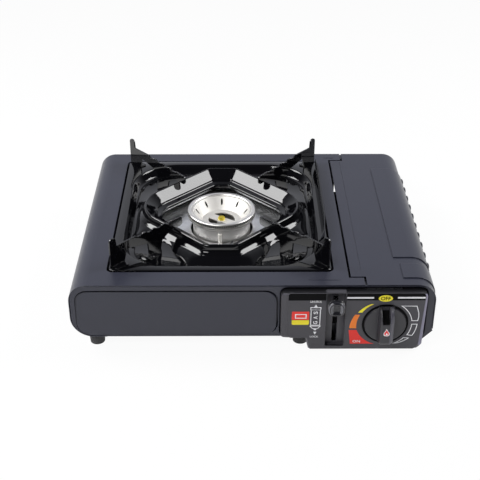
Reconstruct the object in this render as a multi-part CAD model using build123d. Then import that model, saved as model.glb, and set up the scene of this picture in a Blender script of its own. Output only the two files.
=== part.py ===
"""Butane cassette stove: a pressed steel casing with a lift-off drip pan, a hinged cartridge lid,
a lever that locks the cartridge, and a valve knob that also fires the igniter.

Axes: +X to the right, +Y to the back, +Z up, millimetres.  The pieces are drawn about the middle
of the casing at table height, and save_node() moves them to the middle of the whole stove.
"""
from build123d import *
import os
from math import asin, cos, degrees, hypot, radians, sin

# ---------------------------------------------------------------- casing
WIDTH = 345.0                 # outside of the casing, left to right
DEPTH = 275.0                 # front panel to rear panel
CASING_Z = 13.5               # underside of the casing above the table
SHEET = 0.8                   # painted steel sheet
CORNER = 18.0                 # shoulders of the casing, seen from the front
LOWER_CORNER = 22.0           # lower left corner
UNDERTURN = 12.0              # how far the wrap runs on under the left side
NEST = 0.4                    # a panel's flange inside the wrap
FLANGE = 10.5                 # flanges of the front and rear panels
FIT = 0.1                     # between pieces that are fixed face to face
RUNNING = 0.05                # radial clearance of a pivot
SCREW_SIDES = 8               # small fixed screws and their holes are drawn with few sides

BAY_Z = 3.0                   # underside of the lowered cartridge bay
BAY_WALL_GAP = 6.0            # bay's left wall, where the underside steps down, to the partition
BAY_STEP = 2.0                # lean of that step
BAY_CHAMFER_X = 15.5          # bevel along the bay's lower right edge
BAY_CHAMFER_Z = 16.5
BAY_LAP = 8.0                 # how far the bay floor's right wall runs up behind the lid
BAY_JOGGLE = 1.6              # height in which that wall steps in behind the lid

# ---------------------------------------------------------------- drip pan and its well
PAN_MARGIN_LEFT = 34.0        # top face left of the pan's opening
PAN_MARGIN_RIGHT = 13.0       # opening to the lid's seam
PAN_MARGIN_FRONT = 22.95
PAN_MARGIN_BACK = 18.15
WELL_RADIUS = 6.0
WELL_DEPTH = 10.0             # top face down to the ledge that carries the pan
LEDGE = 16.0
PAN_GAP = 2.0
PAN_SHEET = 1.0
PAN_REST = 0.2
PAN_RIM = 8.0                 # flat rim of the pan
PAN_RIM_RISE = 0.5            # rim above the top face
PAN_SKIRT = 3.0
PAN_FLOOR_RADIUS = 44.0       # rounded corners of the sunk floor
PAN_WALL_RUN = 5.0            # slope from the rim to the floor

RIDGE_MARGIN = 26.2           # opening's side to the crest of the ridge round the burner
RIDGE_CUT = 13.4              # how much nearer the crest is across the diagonals
RIDGE_RISE = 9.0              # crest above the top face
RIDGE_BASE = 6.0              # spread of the ridge's outer slope
RIDGE_BASIN = 14.0            # width of the inner slope
BASIN_DROP = 1.0              # foot of the inner slope under the top face
LIP_DROP = 6.0
RIDGE_ROUND = 10.0            # rounding of the octagon's corners
PAD_RADIUS = 16.0             # embossed pads that the supports' inner legs stand on
PAD_RISE = 0.8
PAD_SLOPE = 1.5

# ---------------------------------------------------------------- pan supports
SUPPORT_SHEET = 1.5
SUPPORT_INSET_X = 4.2         # opening's edge to the outer end of a support
SUPPORT_INSET_Y = 5.45
HORN_RISE = 32.0              # heights above the top face
HORN_WIDTH = 7.5
SUPPORT_RISE = 22.5           # edge that the pot stands on
SUPPORT_END_RISE = 18.5
NOSE_OVERHANG = 11.1          # inner end past the ridge's crest
NOSE_ROUND = 3.5
SCALLOP_FROM = 32.0
SCALLOPS = 5
SCALLOP_DEPTH = 1.6
OUTER_LEG = 17.0
ARCH_FROM = 21.0
ARCH_LEAN = 1.0
ARCH_RISE, ARCH_END_RISE = 14.0, 7.5
INNER_LEG_GAP = 19.9          # ridge's crest to the inner leg
INNER_LEG_WIDTH = 15.0
CREST_RUN = 14.0              # inner leg to where the underside passes over the ridge
HEEL_RUN, HEEL_DROP = 3.0, 6.0
FOOT_TAB = 8.0
TAB_LENGTH = 15.0
RIVET_RADIUS = 2.3
RIVET_HEAD = 1.2
RIVET_OUT = 4.8               # blade to the rivet on its tab

GUARD_SHEET = 0.8
GUARD_RISE = 13.0
GUARD_FRONT_INSET = 37.0      # opening's front and back edges to the ends of the guard
GUARD_BACK_INSET = 21.0
GUARD_FRONT_RUN = 20.0        # bent stretches of the guard at its front and its back
GUARD_MID_RUN = 29.0
GUARD_BACK_RUN = 48.0
GUARD_LEANS = (9.0, 2.5, 0.5)  # inward lean at the front end, the front bend and the back end
GUARD_BEND = 20.0

# ---------------------------------------------------------------- burner
HEAD_RADIUS = 35.3
HEAD_RISE = 3.5               # top of the head ring above the top face
HEAD_HEIGHT = 7.6
HEAD_CHAMFER = 1.6
HEAD_BORE = 31.0
PORTS = 72
PORT_WIDTH = 1.2
PORT_HEIGHT = 1.4
POT_RADIUS = 30.0
POT_LIFT = 8.5                # underside of the pot above the casing's underside
POT_WALL = 2.5
BOWL_DEPTH = 14.5
BOWL_WALL = 1.5
BOWL_HOLE = 0.9
BOWL_HOLE_OUT = 4.2
BOWL_FLOOR_RADIUS = 20.0
BOWL_HOLES = 9
BRIDGE_WIDTH = 9.0
BRIDGE_TURN = -35.0
MOON_MARGIN = 6.0             # bowl's floor outside the two openings
PILLAR_RADIUS = 5.0
NUT_RADIUS, NUT_HEIGHT = 3.6, 2.4
SADDLE_HALF, SADDLE_FOOT, SADDLE_DEPTH = 22.0, 12.0, 24.0   # bridge under the pot
MIXER_DROP = 3.8              # axis of the mixing tube under the cartridge's axis
MIXER_RADIUS = 9.0
MIXER_BORE = 7.0
MIXER_CLEAR = 2.0             # hole round the tube in the partition
MOUTH_GAP = 34.0              # nozzle's foot to the tube's mouth
TRAY_DROP = 27.0              # tray's floor under the top face
TRAY_SHEET = 0.6
TRAY_HOLE = 32.5
TRAY_FLANGE_INSET = 2.0
POST_CLEAR = 0.5
ELECTRODE_SIDE = -1.2         # across from the burner's axis
ELECTRODE_GAP = 3.6           # head ring to the post's axis
ELECTRODE_RADIUS = 1.85
ELECTRODE_DROP = 5.0          # top of the post under the top face
POST_TAIL, WIRE_TAIL = 8.0, 12.0   # post and wire below the tray
CLAMP_RIM, CLAMP_HEIGHT = 1.4, 6.0
CLAMP_REACH, CLAMP_HALF = 14.0, 4.0
FIN_HEIGHT = 13.0
WIRE_RADIUS = 0.6
WIRE_TIP = 2.4

# ---------------------------------------------------------------- cartridge, lid and hinge
CARTRIDGE_RADIUS = 33.0
CARTRIDGE_SIDE = 7.5          # cartridge to the casing's right side
CARTRIDGE_CLEAR = 1.2         # space above the cartridge, up to the top face
CRADLE_SHEET = 0.8
CRADLE_HALF_WIDTH = 24.0
CRADLE_FRONT_INSET, CRADLE_BACK_INSET = 77.5, 47.5
PARTITION_GAP = 2.1           # tray's well to the partition between burner and bay
PARTITION_FLANGE = 9.0

SEAM_SIDE = 8.1               # edge of the fixed top beside the lid, from the cartridge
SEAM_GAP = 2.0
TAB_REACH = 14.1              # fixed top in front of and behind the lid's hinge edge
TAB_FRONT, TAB_BACK = 12.5, 16.0
HINGE_REACH = 6.0             # seam to the hinge axis
HINGE_DROP = 4.5              # hinge axis under the top face
HINGE_PIN = 1.5
HINGE_PIN_HEAD = 0.9
HINGE_PIN_PAST = 2.2          # pin past the ear on the bracket's side
HINGE_GAP = 0.4               # ear to its bracket
EAR_WIDTH, EAR_DROP = 11.0, 4.0
HANGER_HALF, HANGER_DROP, HANGER_REACH = 5.0, 8.0, 9.0
LID_EDGE_Z = 22.0             # lower edge of the lid's side
EMBOSS_RISE = 1.0
EMBOSS_INSET = 35.5           # right side to the raised panel's edge on the top
EMBOSS_FRONT_INSET, EMBOSS_BACK_INSET = 47.5, 39.5
EMBOSS_LOW = 5.0              # raised panel above the lid's lower edge
CREASE_REACH = 10.0           # shallow line along the lid, from its hinge edge
CREASE_WIDTH, CREASE_DEPTH = 0.8, 0.3
CREASE_FRONT_INSET, CREASE_BACK_INSET = 27.5, 22.5
LOUVRE_PITCH = 19.6
LOUVRE_SETBACK = 7.0          # raised panel's front end to the first louvre
LOUVRE_RISE = 1.5
LOUVRE_HALF, LOUVRE_CREST = 3.3, 1.6    # half widths at the root and along the crest
LOUVRE_LIFT = 8.0             # louvres above the lid's lower edge
LOUVRE_DROP = 17.0            # and under the top face
LOUVRE_END = 1.4
GRIP_INSET = 30.5             # small raised finger grip near the front of the lid
GRIP_SETBACK, GRIP_LENGTH = 11.5, 25.0
GRIP_DROP = 26.0

# ---------------------------------------------------------------- front controls
FIELD_INSET = 5.7             # casing's left side to the sunk field
FIELD_GAP = 2.5               # sunk field to the control panel
FIELD_LIFT, FIELD_DROP = 2.8, 6.1
REAR_FIELD_GAP = 7.2          # rear sunk field to the partition
FIELD_RADIUS = 12.0
FIELD_SUNK = 1.6
APERTURE_SIDE = 2.2           # opening behind the control panel, past the channel
APERTURE_REACH = 14.9         # and past the knob's axis
APERTURE_LIFT, APERTURE_DROP = 11.0, 7.0
APERTURE_ROUND = 4.0
REAR_SLOTS = 8
REAR_SLOT_PITCH = 10.5
REAR_SLOT_WIDTH = 3.0
REAR_SLOT_LOW, REAR_SLOT_HIGH = 22.0, 54.0
BASE_SLOTS = 5
BASE_SLOT_PITCH = 20.0
BASE_SLOT_WIDTH, BASE_SLOT_LENGTH = 4.0, 40.0
BASE_SLOT_REACH = 62.0

PANEL_PROUD = 8.0             # control panel in front of the casing
PANEL_WALL = 2.0
PANEL_WING = 31.0             # panel's reach to the left of the bay
PANEL_INSET = 7.5             # and its distance from the casing's right side
PANEL_DROP, PANEL_SHELF_LIFT = 3.0, 2.5
PANEL_TONGUE = 11.0           # lower part of the panel left of the bay
PANEL_TONGUE_LEAN = 3.0
PANEL_CORNER = 6.0
PANEL_BEVEL = 5.5
PANEL_POST = 3.5
PANEL_SCREW_LEFT, PANEL_SCREW_RIGHT = 14.0, 9.0
PANEL_SCREW_DROP, PANEL_SCREW_LIFT = 11.0, 8.0
PANEL_SCREW_LOW = 11.0
KNOB_SIDE = 6.9               # knob's axis to the left of the cartridge's
KNOB_DROP = 4.1               # under the cartridge's axis
KNOB_RECESS = 21.5
KNOB_RECESS_DEPTH = 3.0
KNOB_RADIUS = 20.5
KNOB_DISC = 4.0
KNOB_FLOAT = 0.5              # disc off the floor of its recess
KNOB_EDGE = 0.8
HUB_RIM, HUB_LENGTH = 2.0, 1.2
KNOB_GRIP_WIDTH = 11.5
KNOB_GRIP_LENGTH = 42.0
GRIP_SPREAD = 2.2             # how much wider the grip is at its foot, each side
GRIP_SCOOP, GRIP_SCOOP_DEPTH = 16.0, 5.5
KNOB_REACH = 13.5             # grip in front of the control panel
KNOB_TURN = 120.0
SPINDLE_RADIUS = 3.5
SPINDLE_DEPTH = 14.0          # spindle's bore in the valve
SPINDLE_FLAT, SPINDLE_FLAT_LENGTH = 2.4, 9.0
SPINDLE_PROUD = 1.5           # end of the spindle in front of the panel
BOSS_CLEAR = 3.0              # hole for the spindle in the panel
CHANNEL_WIDTH = 17.7          # sunk channel that the lever's thumb piece runs in
CHANNEL_LIFT, CHANNEL_DROP = 5.0, 2.5
CHANNEL_DEPTH = 5.5
SLOT_WIDTH = 4.5
SLOT_LIFT, SLOT_DROP = 2.0, 4.5

LEVER_GAP = 14.05             # partition to the lever
LEVER_SHEET = 2.0
LEVER_SETBACK = 45.5          # front of the casing to the pivot
LEVER_PIN = 2.5
PIVOT_RIM = 2.0               # shoulders of the pivot past its pin
LEVER_RIM = 3.0
LEVER_BEND = (9.0, 7.0)       # where the lever's arm leaves its upright part
LEVER_REST_DROP = 11.5        # thumb piece's middle under the channel's top, at rest
LEVER_REST_RISE = 9.0         # and above the pivot
LEVER_LOW_LIFT = 15.0         # and above the slot's foot, at the end of its swing
THUMB = 15.5
THUMB_DEPTH = 7.2
THUMB_PROUD = 8.5             # thumb piece in front of the control panel
THUMB_CUP, THUMB_CUP_DEPTH = 9.0, 2.0
TANG = 2.5                    # how far the lever reaches into the thumb piece
TANG_HEIGHT = 7.0
DRIVE_ARM = 12.0              # pivot to the pin that moves the fork
DRIVE_PIN = 2.0

FORK_SHEET = 1.5
FORK_STEP = 4.0               # lever to the fork's plate
FORK_SETBACK = 53.5
FORK_NOTCH = 17.0
FORK_PLATE_DROP = 5.0
FORK_PLAY = 0.3
FORK_RIM = 5.0
FORK_LEAD = 6.0               # plate in front of the lever's pin
FORK_ARM = 7.0                # height of the arm from plate to yoke
STUD_RADIUS = 2.0
STUD_RIM, STUD_HEAD = 2.0, 1.2
STUD_RISE = 8.0               # studs above the lever's pivot
STUD_SETBACKS = (65.5, 81.5)

REGULATOR_RADIUS = 21.0
REGULATOR_SETBACK, REGULATOR_THICK = 25.5, 20.5
SPIGOT_RADIUS = 10.0
SPIGOT_LENGTH = 5.0
SOCKET_RADIUS = 4.5
SOCKET_DEPTH = 8.0
VALVE_BOSS = 9.0
VALVE_BOSS_SETBACK = 9.0
CAP_RADIUS = 11.5
CAP_PAD = 0.6                 # pad for the cap above the round body
CAP_PLATE, CAP_DOME = 1.6, 4.5
CAP_DOME_RADIUS = 5.0
CAP_SCREW, CAP_SCREW_HEAD, CAP_SCREW_LENGTH = 1.2, 2.2, 7.0
CAP_SCREW_TOP = 1.5
CAP_SCREW_INSET = 3.2
NOZZLE_SIDE, NOZZLE_SETBACK = 14.0, 34.5
NOZZLE_RADIUS = 2.5
NOZZLE_HEX = 4.2
NOZZLE_BOSS, NOZZLE_BOSS_LENGTH = 6.0, 16.0
JET_RADIUS = 0.5
YOKE_GAP = 2.0                # regulator to the plate that it is bolted to
APERTURE_LAP, YOKE_LOW = 1.5, 5.0
YOKE_FOOT = 4.5
YOKE_LEFT, YOKE_RIGHT = 19.0, 15.0
CAM_SETBACK = 6.5
CAM_WIDTH = 4.0
CAM_RADIUS = 8.0
CAM_RISE = 4.0                # how far the cam pushes the igniter over the knob's whole turn
CAM_GAP = 0.3
CAM_LEAD = 12.0               # degrees of low rim before the spiral starts
CAM_RELIEF = 0.6
PIEZO_RADIUS = 5.0
PLUNGER_RADIUS = 2.0
PIEZO_SIDE, PIEZO_LENGTH = 17.9, 25.0
PIEZO_HALF = 6.0
PIEZO_END = 6.0               # solid end behind the plunger's bore

FOOT_RADIUS = 8.0
FOOT_TAPER = 1.0
FOOT_INSET_X, FOOT_INSET_Y = 22.5, 12.7
FOOT_FROM_BAY = 11.0
SCREW_RADIUS = 1.5
SCREW_HEAD = 3.0
SCREW_HEAD_HEIGHT = 2.2
SCREW_BITE = 2.0

# ---------------------------------------------------------------- worked out
LEFT, RIGHT = -WIDTH / 2, WIDTH / 2
FRONT, BACK = -DEPTH / 2, DEPTH / 2
CARTRIDGE_X = RIGHT - CARTRIDGE_SIDE - CARTRIDGE_RADIUS
CARTRIDGE_Z = BAY_Z + SHEET + FIT + CRADLE_SHEET + CARTRIDGE_RADIUS + FIT
TOP_Z = CARTRIDGE_Z + CARTRIDGE_RADIUS + CARTRIDGE_CLEAR
SEAM_X = CARTRIDGE_X - CARTRIDGE_RADIUS - SEAM_SIDE
TAB_X = SEAM_X + TAB_REACH
BAY_WALL_Z = LID_EDGE_Z + BAY_LAP
UNDER_SEAM_X = LEFT + LOWER_CORNER + UNDERTURN

PAN_LEFT, PAN_RIGHT = LEFT + PAN_MARGIN_LEFT, SEAM_X - PAN_MARGIN_RIGHT
PAN_FRONT, PAN_BACK = FRONT + PAN_MARGIN_FRONT, BACK - PAN_MARGIN_BACK
PAN_OPENING_X, PAN_OPENING_Y = PAN_RIGHT - PAN_LEFT, PAN_BACK - PAN_FRONT
PAN_X, PAN_Y = (PAN_LEFT + PAN_RIGHT) / 2, (PAN_FRONT + PAN_BACK) / 2
PARTITION_X = PAN_RIGHT - LEDGE + PARTITION_GAP
BAY_LEFT = PARTITION_X - BAY_WALL_GAP
LEDGE_Z = TOP_Z - WELL_DEPTH
PAN_FLOOR_Z = LEDGE_Z + PAN_REST + PAN_SHEET
PAN_RIM_Z = TOP_Z + PAN_RIM_RISE
RIDGE_FLAT = PAN_OPENING_X / 2 - RIDGE_MARGIN
RIDGE_DIAGONAL = RIDGE_FLAT - RIDGE_CUT
RIDGE_Z, BASIN_Z, LIP_Z = TOP_Z + RIDGE_RISE, TOP_Z - BASIN_DROP, TOP_Z - LIP_DROP
PAD_Z = PAN_FLOOR_Z + PAD_RISE

SUPPORT_CORNER_X = PAN_OPENING_X / 2 - SUPPORT_INSET_X
SUPPORT_CORNER_Y = PAN_OPENING_Y / 2 - SUPPORT_INSET_Y
SUPPORT_CORNER = hypot(SUPPORT_CORNER_X, SUPPORT_CORNER_Y)
SUPPORT_LENGTH = SUPPORT_CORNER - RIDGE_DIAGONAL + NOSE_OVERHANG
INNER_LEG_TO = SUPPORT_CORNER - RIDGE_DIAGONAL - INNER_LEG_GAP
INNER_LEG_FROM = INNER_LEG_TO - INNER_LEG_WIDTH
HORN_Z, SUPPORT_Z, SUPPORT_END_Z = TOP_Z + HORN_RISE, TOP_Z + SUPPORT_RISE, TOP_Z + SUPPORT_END_RISE
ARCH_Z, ARCH_END_Z = TOP_Z + ARCH_RISE, TOP_Z + ARCH_END_RISE
GUARD_Z = TOP_Z + GUARD_RISE

HEAD_Z = TOP_Z + HEAD_RISE
HEAD_BASE_Z = HEAD_Z - HEAD_HEIGHT
BOWL_FLOOR_Z = HEAD_Z - BOWL_DEPTH
POT_BASE_Z = CASING_Z + POT_LIFT
MIXER_Z = CARTRIDGE_Z - MIXER_DROP
TRAY_Z = TOP_Z - TRAY_DROP
ELECTRODE_X = PAN_X + ELECTRODE_SIDE
ELECTRODE_Y = PAN_Y - HEAD_RADIUS - ELECTRODE_GAP
ELECTRODE_TOP_Z = TOP_Z - ELECTRODE_DROP

HINGE_X, HINGE_Z = SEAM_X + HINGE_REACH, TOP_Z - HINGE_DROP
LID_LEFT = SEAM_X + SEAM_GAP
EMBOSS_FROM_X, GRIP_X = RIGHT - EMBOSS_INSET, RIGHT - GRIP_INSET
EMBOSS_FRONT_Y, EMBOSS_BACK_Y = FRONT + EMBOSS_FRONT_INSET, BACK - EMBOSS_BACK_INSET
GRIP_FRONT_Y = FRONT + GRIP_SETBACK
GRIP_BACK_Y = GRIP_FRONT_Y + GRIP_LENGTH
LOUVRE_FROM_Z, LOUVRE_TO_Z = LID_EDGE_Z + LOUVRE_LIFT, TOP_Z - LOUVRE_DROP
LOUVRE_ROW = EMBOSS_BACK_Y - EMBOSS_FRONT_Y - LOUVRE_SETBACK - LOUVRE_HALF
LOUVRES = 1 + int(LOUVRE_ROW / LOUVRE_PITCH)

PANEL_LEFT, PANEL_RIGHT = BAY_LEFT - PANEL_WING, RIGHT - PANEL_INSET
PANEL_TOP, PANEL_SHELF = TOP_Z - PANEL_DROP, CASING_Z + PANEL_SHELF_LIFT
PANEL_LOW = BAY_Z
PANEL_STEP = BAY_LEFT - PANEL_TONGUE
PANEL_FACE_Y = FRONT - PANEL_PROUD
FIELD_LEFT, FIELD_RIGHT = LEFT + FIELD_INSET, PANEL_LEFT - FIELD_GAP
FIELD_LOW, FIELD_HIGH = CASING_Z + FIELD_LIFT, TOP_Z - FIELD_DROP
KNOB_X, KNOB_Z = CARTRIDGE_X - KNOB_SIDE, CARTRIDGE_Z - KNOB_DROP
LEVER_X = PARTITION_X + LEVER_GAP
CHANNEL_LEFT, CHANNEL_RIGHT = LEVER_X - CHANNEL_WIDTH / 2, LEVER_X + CHANNEL_WIDTH / 2
CHANNEL_LOW, CHANNEL_HIGH = PANEL_LOW + CHANNEL_LIFT, PANEL_TOP - CHANNEL_DROP
SLOT_LOW, SLOT_HIGH = CHANNEL_LOW + SLOT_LIFT, CHANNEL_HIGH - SLOT_DROP
APERTURE_LEFT, APERTURE_RIGHT = CHANNEL_LEFT - APERTURE_SIDE, KNOB_X + APERTURE_REACH
APERTURE_LOW, APERTURE_HIGH = PANEL_LOW + APERTURE_LIFT, PANEL_TOP - APERTURE_DROP

LEVER_TOP_Z, LEVER_LOW_Z = CHANNEL_HIGH - LEVER_REST_DROP, SLOT_LOW + LEVER_LOW_LIFT
LEVER_PIVOT_Y, LEVER_PIVOT_Z = FRONT + LEVER_SETBACK, LEVER_TOP_Z - LEVER_REST_RISE
LEVER_TIP_Y = PANEL_FACE_Y - THUMB_PROUD
LEVER_ARM = LEVER_PIVOT_Y - LEVER_TIP_Y
LEVER_SWING = degrees(asin((LEVER_TOP_Z - LEVER_PIVOT_Z) / LEVER_ARM)
                      + asin((LEVER_PIVOT_Z - LEVER_LOW_Z) / LEVER_ARM))
THUMB_BACK = LEVER_ARM - THUMB_DEPTH          # radius of the thumb piece's back about the pivot
FORK_X, FORK_Y = LEVER_X + FORK_STEP, FRONT + FORK_SETBACK
FORK_TRAVEL = DRIVE_ARM * sin(radians(LEVER_SWING))
STUD_Z = LEVER_PIVOT_Z + STUD_RISE
STUDS_Y = tuple(FRONT + setback for setback in STUD_SETBACKS)

REGULATOR_FRONT_Y = FRONT + REGULATOR_SETBACK
REGULATOR_BACK_Y = REGULATOR_FRONT_Y + REGULATOR_THICK
REGULATOR_MID_Y = (REGULATOR_FRONT_Y + REGULATOR_BACK_Y) / 2
VALVE_BOSS_Y, CAM_Y = FRONT + VALVE_BOSS_SETBACK, FRONT + CAM_SETBACK
CAP_Z = CARTRIDGE_Z + REGULATOR_RADIUS + CAP_PAD
NOZZLE_FROM_X, NOZZLE_FROM_Y = CARTRIDGE_X - NOZZLE_SIDE, FRONT + NOZZLE_SETBACK
PIEZO_FROM_X = KNOB_X + PIEZO_SIDE
PIEZO_TO_X = PIEZO_FROM_X + PIEZO_LENGTH
FOOT_LEFT_X, FOOT_RIGHT_X = LEFT + FOOT_INSET_X, BAY_LEFT - FOOT_FROM_BAY
FOOT_Y = DEPTH / 2 - FOOT_INSET_Y
ORIGIN_X = -(EMBOSS_RISE + LOUVRE_RISE) / 2
ORIGIN_Y = (PANEL_PROUD + KNOB_REACH) / 2


# ---------------------------------------------------------------- helpers
def rect(x0, x1, y0, y1, radius=0.0):
    """Rectangle between two corners, with rounded corners where a radius is given."""
    size = (x1 - x0, y1 - y0)
    shape = RectangleRounded(*size, radius) if radius else Rectangle(*size)
    return Pos((x0 + x1) / 2, (y0 + y1) / 2) * shape


def along_x(sketch, x0, x1):
    """Solid from a sketch in Y and Z."""
    return extrude(Plane.YZ.offset(x0) * sketch, amount=x1 - x0)


def along_y(sketch, y0, y1):
    """Solid from a sketch in X and Z."""
    return extrude(Plane.XZ.offset(-y0) * sketch, amount=-(y1 - y0))


def along_z(sketch, z0, z1):
    """Solid from a sketch in X and Y."""
    return Pos(0, 0, z0) * extrude(sketch, amount=z1 - z0)


def disc(radius, sides=0):
    """Circle, or a polygon with few sides."""
    return RegularPolygon(radius, sides) if sides else Circle(radius)


def rod_x(radius, x0, x1, y, z):
    """Round bar along X."""
    return along_x(Pos(y, z) * Circle(radius), x0, x1)


def rod_y(radius, y0, y1, x, z, sides=0):
    """Round bar along Y."""
    return along_y(Pos(x, z) * disc(radius, sides), y0, y1)


def rod_z(radius, z0, z1, x, y, sides=0):
    """Round bar along Z."""
    return along_z(Pos(x, y) * disc(radius, sides), z0, z1)


def polygon(*points):
    """Face from its corner points."""
    return make_face(Polyline(*points, close=True))


def sheet_path(points, radius, thickness):
    """Section of a bent sheet that follows a line of points."""
    return trace(FilletPolyline(*points, radius=radius), thickness)


def corners_at(sketch, *points):
    """The corners of a sketch that lie nearest to the given points."""
    return [min(sketch.vertices(), key=lambda v: (v.X - p[0]) ** 2 + (v.Y - p[1]) ** 2) for p in points]


def save_node(name, shape):
    """Write one node about the stove's own origin."""
    export_step(Pos(ORIGIN_X, ORIGIN_Y, 0) * shape, f"parts/{name}.step")


# ---------------------------------------------------------------- casing
def casing_outline(inset=0.0):
    """Front view of the wrapped casing, inset evenly all round."""
    shape = rect(LEFT, RIGHT, CASING_Z, TOP_Z)
    shape = fillet(corners_at(shape, (LEFT, TOP_Z), (RIGHT, TOP_Z)), CORNER)
    shape = fillet(corners_at(shape, (LEFT, CASING_Z), (RIGHT, CASING_Z)), LOWER_CORNER)
    return offset(shape, amount=-inset) if inset else shape


def body_outline(inset=0.0):
    """Front view of the whole body: the casing and the lowered cartridge bay."""
    bay = polygon(
        (BAY_LEFT, CASING_Z + SHEET), (BAY_LEFT + BAY_STEP, BAY_Z), (RIGHT - BAY_CHAMFER_X, BAY_Z),
        (RIGHT, BAY_Z + BAY_CHAMFER_Z), (RIGHT, TOP_Z / 2), (BAY_LEFT, TOP_Z / 2),
    )
    shape = casing_outline() + bay
    return offset(shape, amount=-inset) if inset else shape


def pan_opening(inset=0.0):
    """Plan of the well that the drip pan sits in."""
    radius = max(WELL_RADIUS - inset, 0.5)
    half_x, half_y = PAN_OPENING_X / 2 - inset, PAN_OPENING_Y / 2 - inset
    return rect(PAN_X - half_x, PAN_X + half_x, PAN_Y - half_y, PAN_Y + half_y, radius)


def casing_shell():
    """Left side and top in one wrap, with the well that is pressed into the top."""
    wrap = along_y(casing_outline() - casing_outline(SHEET), FRONT, BACK)
    wrap -= Box(RIGHT - SEAM_X, DEPTH, TOP_Z, align=(Align.MIN, Align.CENTER, Align.MIN)).moved(
        Location((SEAM_X, 0, 0)))
    wrap -= along_z(rect(UNDER_SEAM_X, SEAM_X, FRONT, BACK), 0, TOP_Z / 2)
    for y0, y1 in ((FRONT, FRONT + TAB_FRONT), (BACK - TAB_BACK, BACK)):
        wrap += along_z(rect(SEAM_X - 1, TAB_X, y0, y1), TOP_Z - SHEET, TOP_Z)
    for x, y in foot_points().values():
        wrap -= rod_z(SCREW_RADIUS + FIT, CASING_Z, CASING_Z + LOWER_CORNER / 4, x, y, SCREW_SIDES)
    well = along_z(pan_opening(-SHEET), LEDGE_Z - SHEET, TOP_Z)
    well -= along_z(pan_opening(), LEDGE_Z, TOP_Z)
    well -= along_z(pan_opening(LEDGE), LEDGE_Z - SHEET, LEDGE_Z)
    return wrap - along_z(pan_opening(), LEDGE_Z, TOP_Z) + well


def end_panel(sunk_fields, aperture=None):
    """Pressed end of the casing at the front: a flanged dish with sunk fields."""
    inset = SHEET + NEST
    face = FRONT + FIT
    panel = along_y(body_outline(inset), face, face + FLANGE)
    panel -= along_y(body_outline(inset + SHEET), face + SHEET, face + FLANGE)
    for x0, x1, z0, z1 in sunk_fields:
        sunk = face + FIELD_SUNK
        panel += along_y(rect(x0 - SHEET, x1 + SHEET, z0 - SHEET, z1 + SHEET, FIELD_RADIUS + SHEET),
                         face, sunk + SHEET)
        panel -= along_y(rect(x0, x1, z0, z1, FIELD_RADIUS), face, sunk)
    if aperture:
        panel -= along_y(aperture, face, face + FIELD_SUNK + SHEET)
    return panel


def front_panel():
    """Front of the casing, open behind the control panel."""
    aperture = rect(APERTURE_LEFT, APERTURE_RIGHT, APERTURE_LOW, APERTURE_HIGH, APERTURE_ROUND)
    panel = end_panel([(FIELD_LEFT, FIELD_RIGHT, FIELD_LOW, FIELD_HIGH)], aperture)
    for x, z in panel_screw_points():
        panel -= rod_y(SCREW_RADIUS + FIT, FRONT, FRONT + FLANGE / 2, x, z, SCREW_SIDES)
    return panel


def rear_panel():
    """Back of the casing, with cooling slots behind the cartridge bay."""
    panel = end_panel([(FIELD_LEFT, PARTITION_X - REAR_FIELD_GAP, FIELD_LOW, FIELD_HIGH)])
    panel = mirror(panel, about=Plane.XZ)
    for i in range(REAR_SLOTS):
        x = (PARTITION_X + RIGHT) / 2 + REAR_SLOT_PITCH * (i - (REAR_SLOTS - 1) / 2)
        slot = rect(x - REAR_SLOT_WIDTH / 2, x + REAR_SLOT_WIDTH / 2, REAR_SLOT_LOW, REAR_SLOT_HIGH)
        panel -= along_y(slot, BACK - FLANGE / 2, BACK)
    return panel


def base_plate():
    """Underside of the burner side, with air slots below the burner."""
    margin = NEST + FIT
    plate = along_z(rect(UNDER_SEAM_X + FIT, BAY_LEFT - FIT, FRONT + margin, BACK - margin),
                    CASING_Z, CASING_Z + SHEET)
    for i in range(BASE_SLOTS):
        for side in (-1, 1):
            x = PAN_X + BASE_SLOT_PITCH * (i - (BASE_SLOTS - 1) / 2)
            slot = Pos(x, PAN_Y + side * BASE_SLOT_REACH) * Rectangle(BASE_SLOT_WIDTH, BASE_SLOT_LENGTH)
            plate -= along_z(slot, CASING_Z, CASING_Z + SHEET)
    for x, y in foot_points().values():
        plate -= rod_z(SCREW_RADIUS + FIT, CASING_Z, CASING_Z + SHEET, x, y, SCREW_SIDES)
    return plate


def bay_floor():
    """Lowered tray under the cartridge; its right wall steps in behind the lid."""
    chamfer_top = BAY_Z + BAY_CHAMFER_Z
    wrap = body_outline() - body_outline(SHEET)
    wrap &= rect(BAY_LEFT + FIT, RIGHT, 0, chamfer_top)
    wrap -= rect(BAY_LEFT, PARTITION_X, CASING_Z, chamfer_top)
    floor = along_y(wrap, FRONT + NEST, BACK - NEST)
    wall_x = RIGHT - SHEET - NEST - SHEET / 2
    line = [(RIGHT - SHEET / 2, chamfer_top - SHEET), (RIGHT - SHEET / 2, chamfer_top),
            (wall_x, chamfer_top + BAY_JOGGLE), (wall_x, BAY_WALL_Z)]
    wall = along_y(trace(Polyline(*line), SHEET), FRONT + FLANGE + 1, BACK - FLANGE - 1)
    return floor + wall


def foot_points():
    """Centres of the four feet."""
    return {
        "front_left": (FOOT_LEFT_X, -FOOT_Y), "front_right": (FOOT_RIGHT_X, -FOOT_Y),
        "rear_left": (FOOT_LEFT_X, FOOT_Y), "rear_right": (FOOT_RIGHT_X, FOOT_Y),
    }


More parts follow.
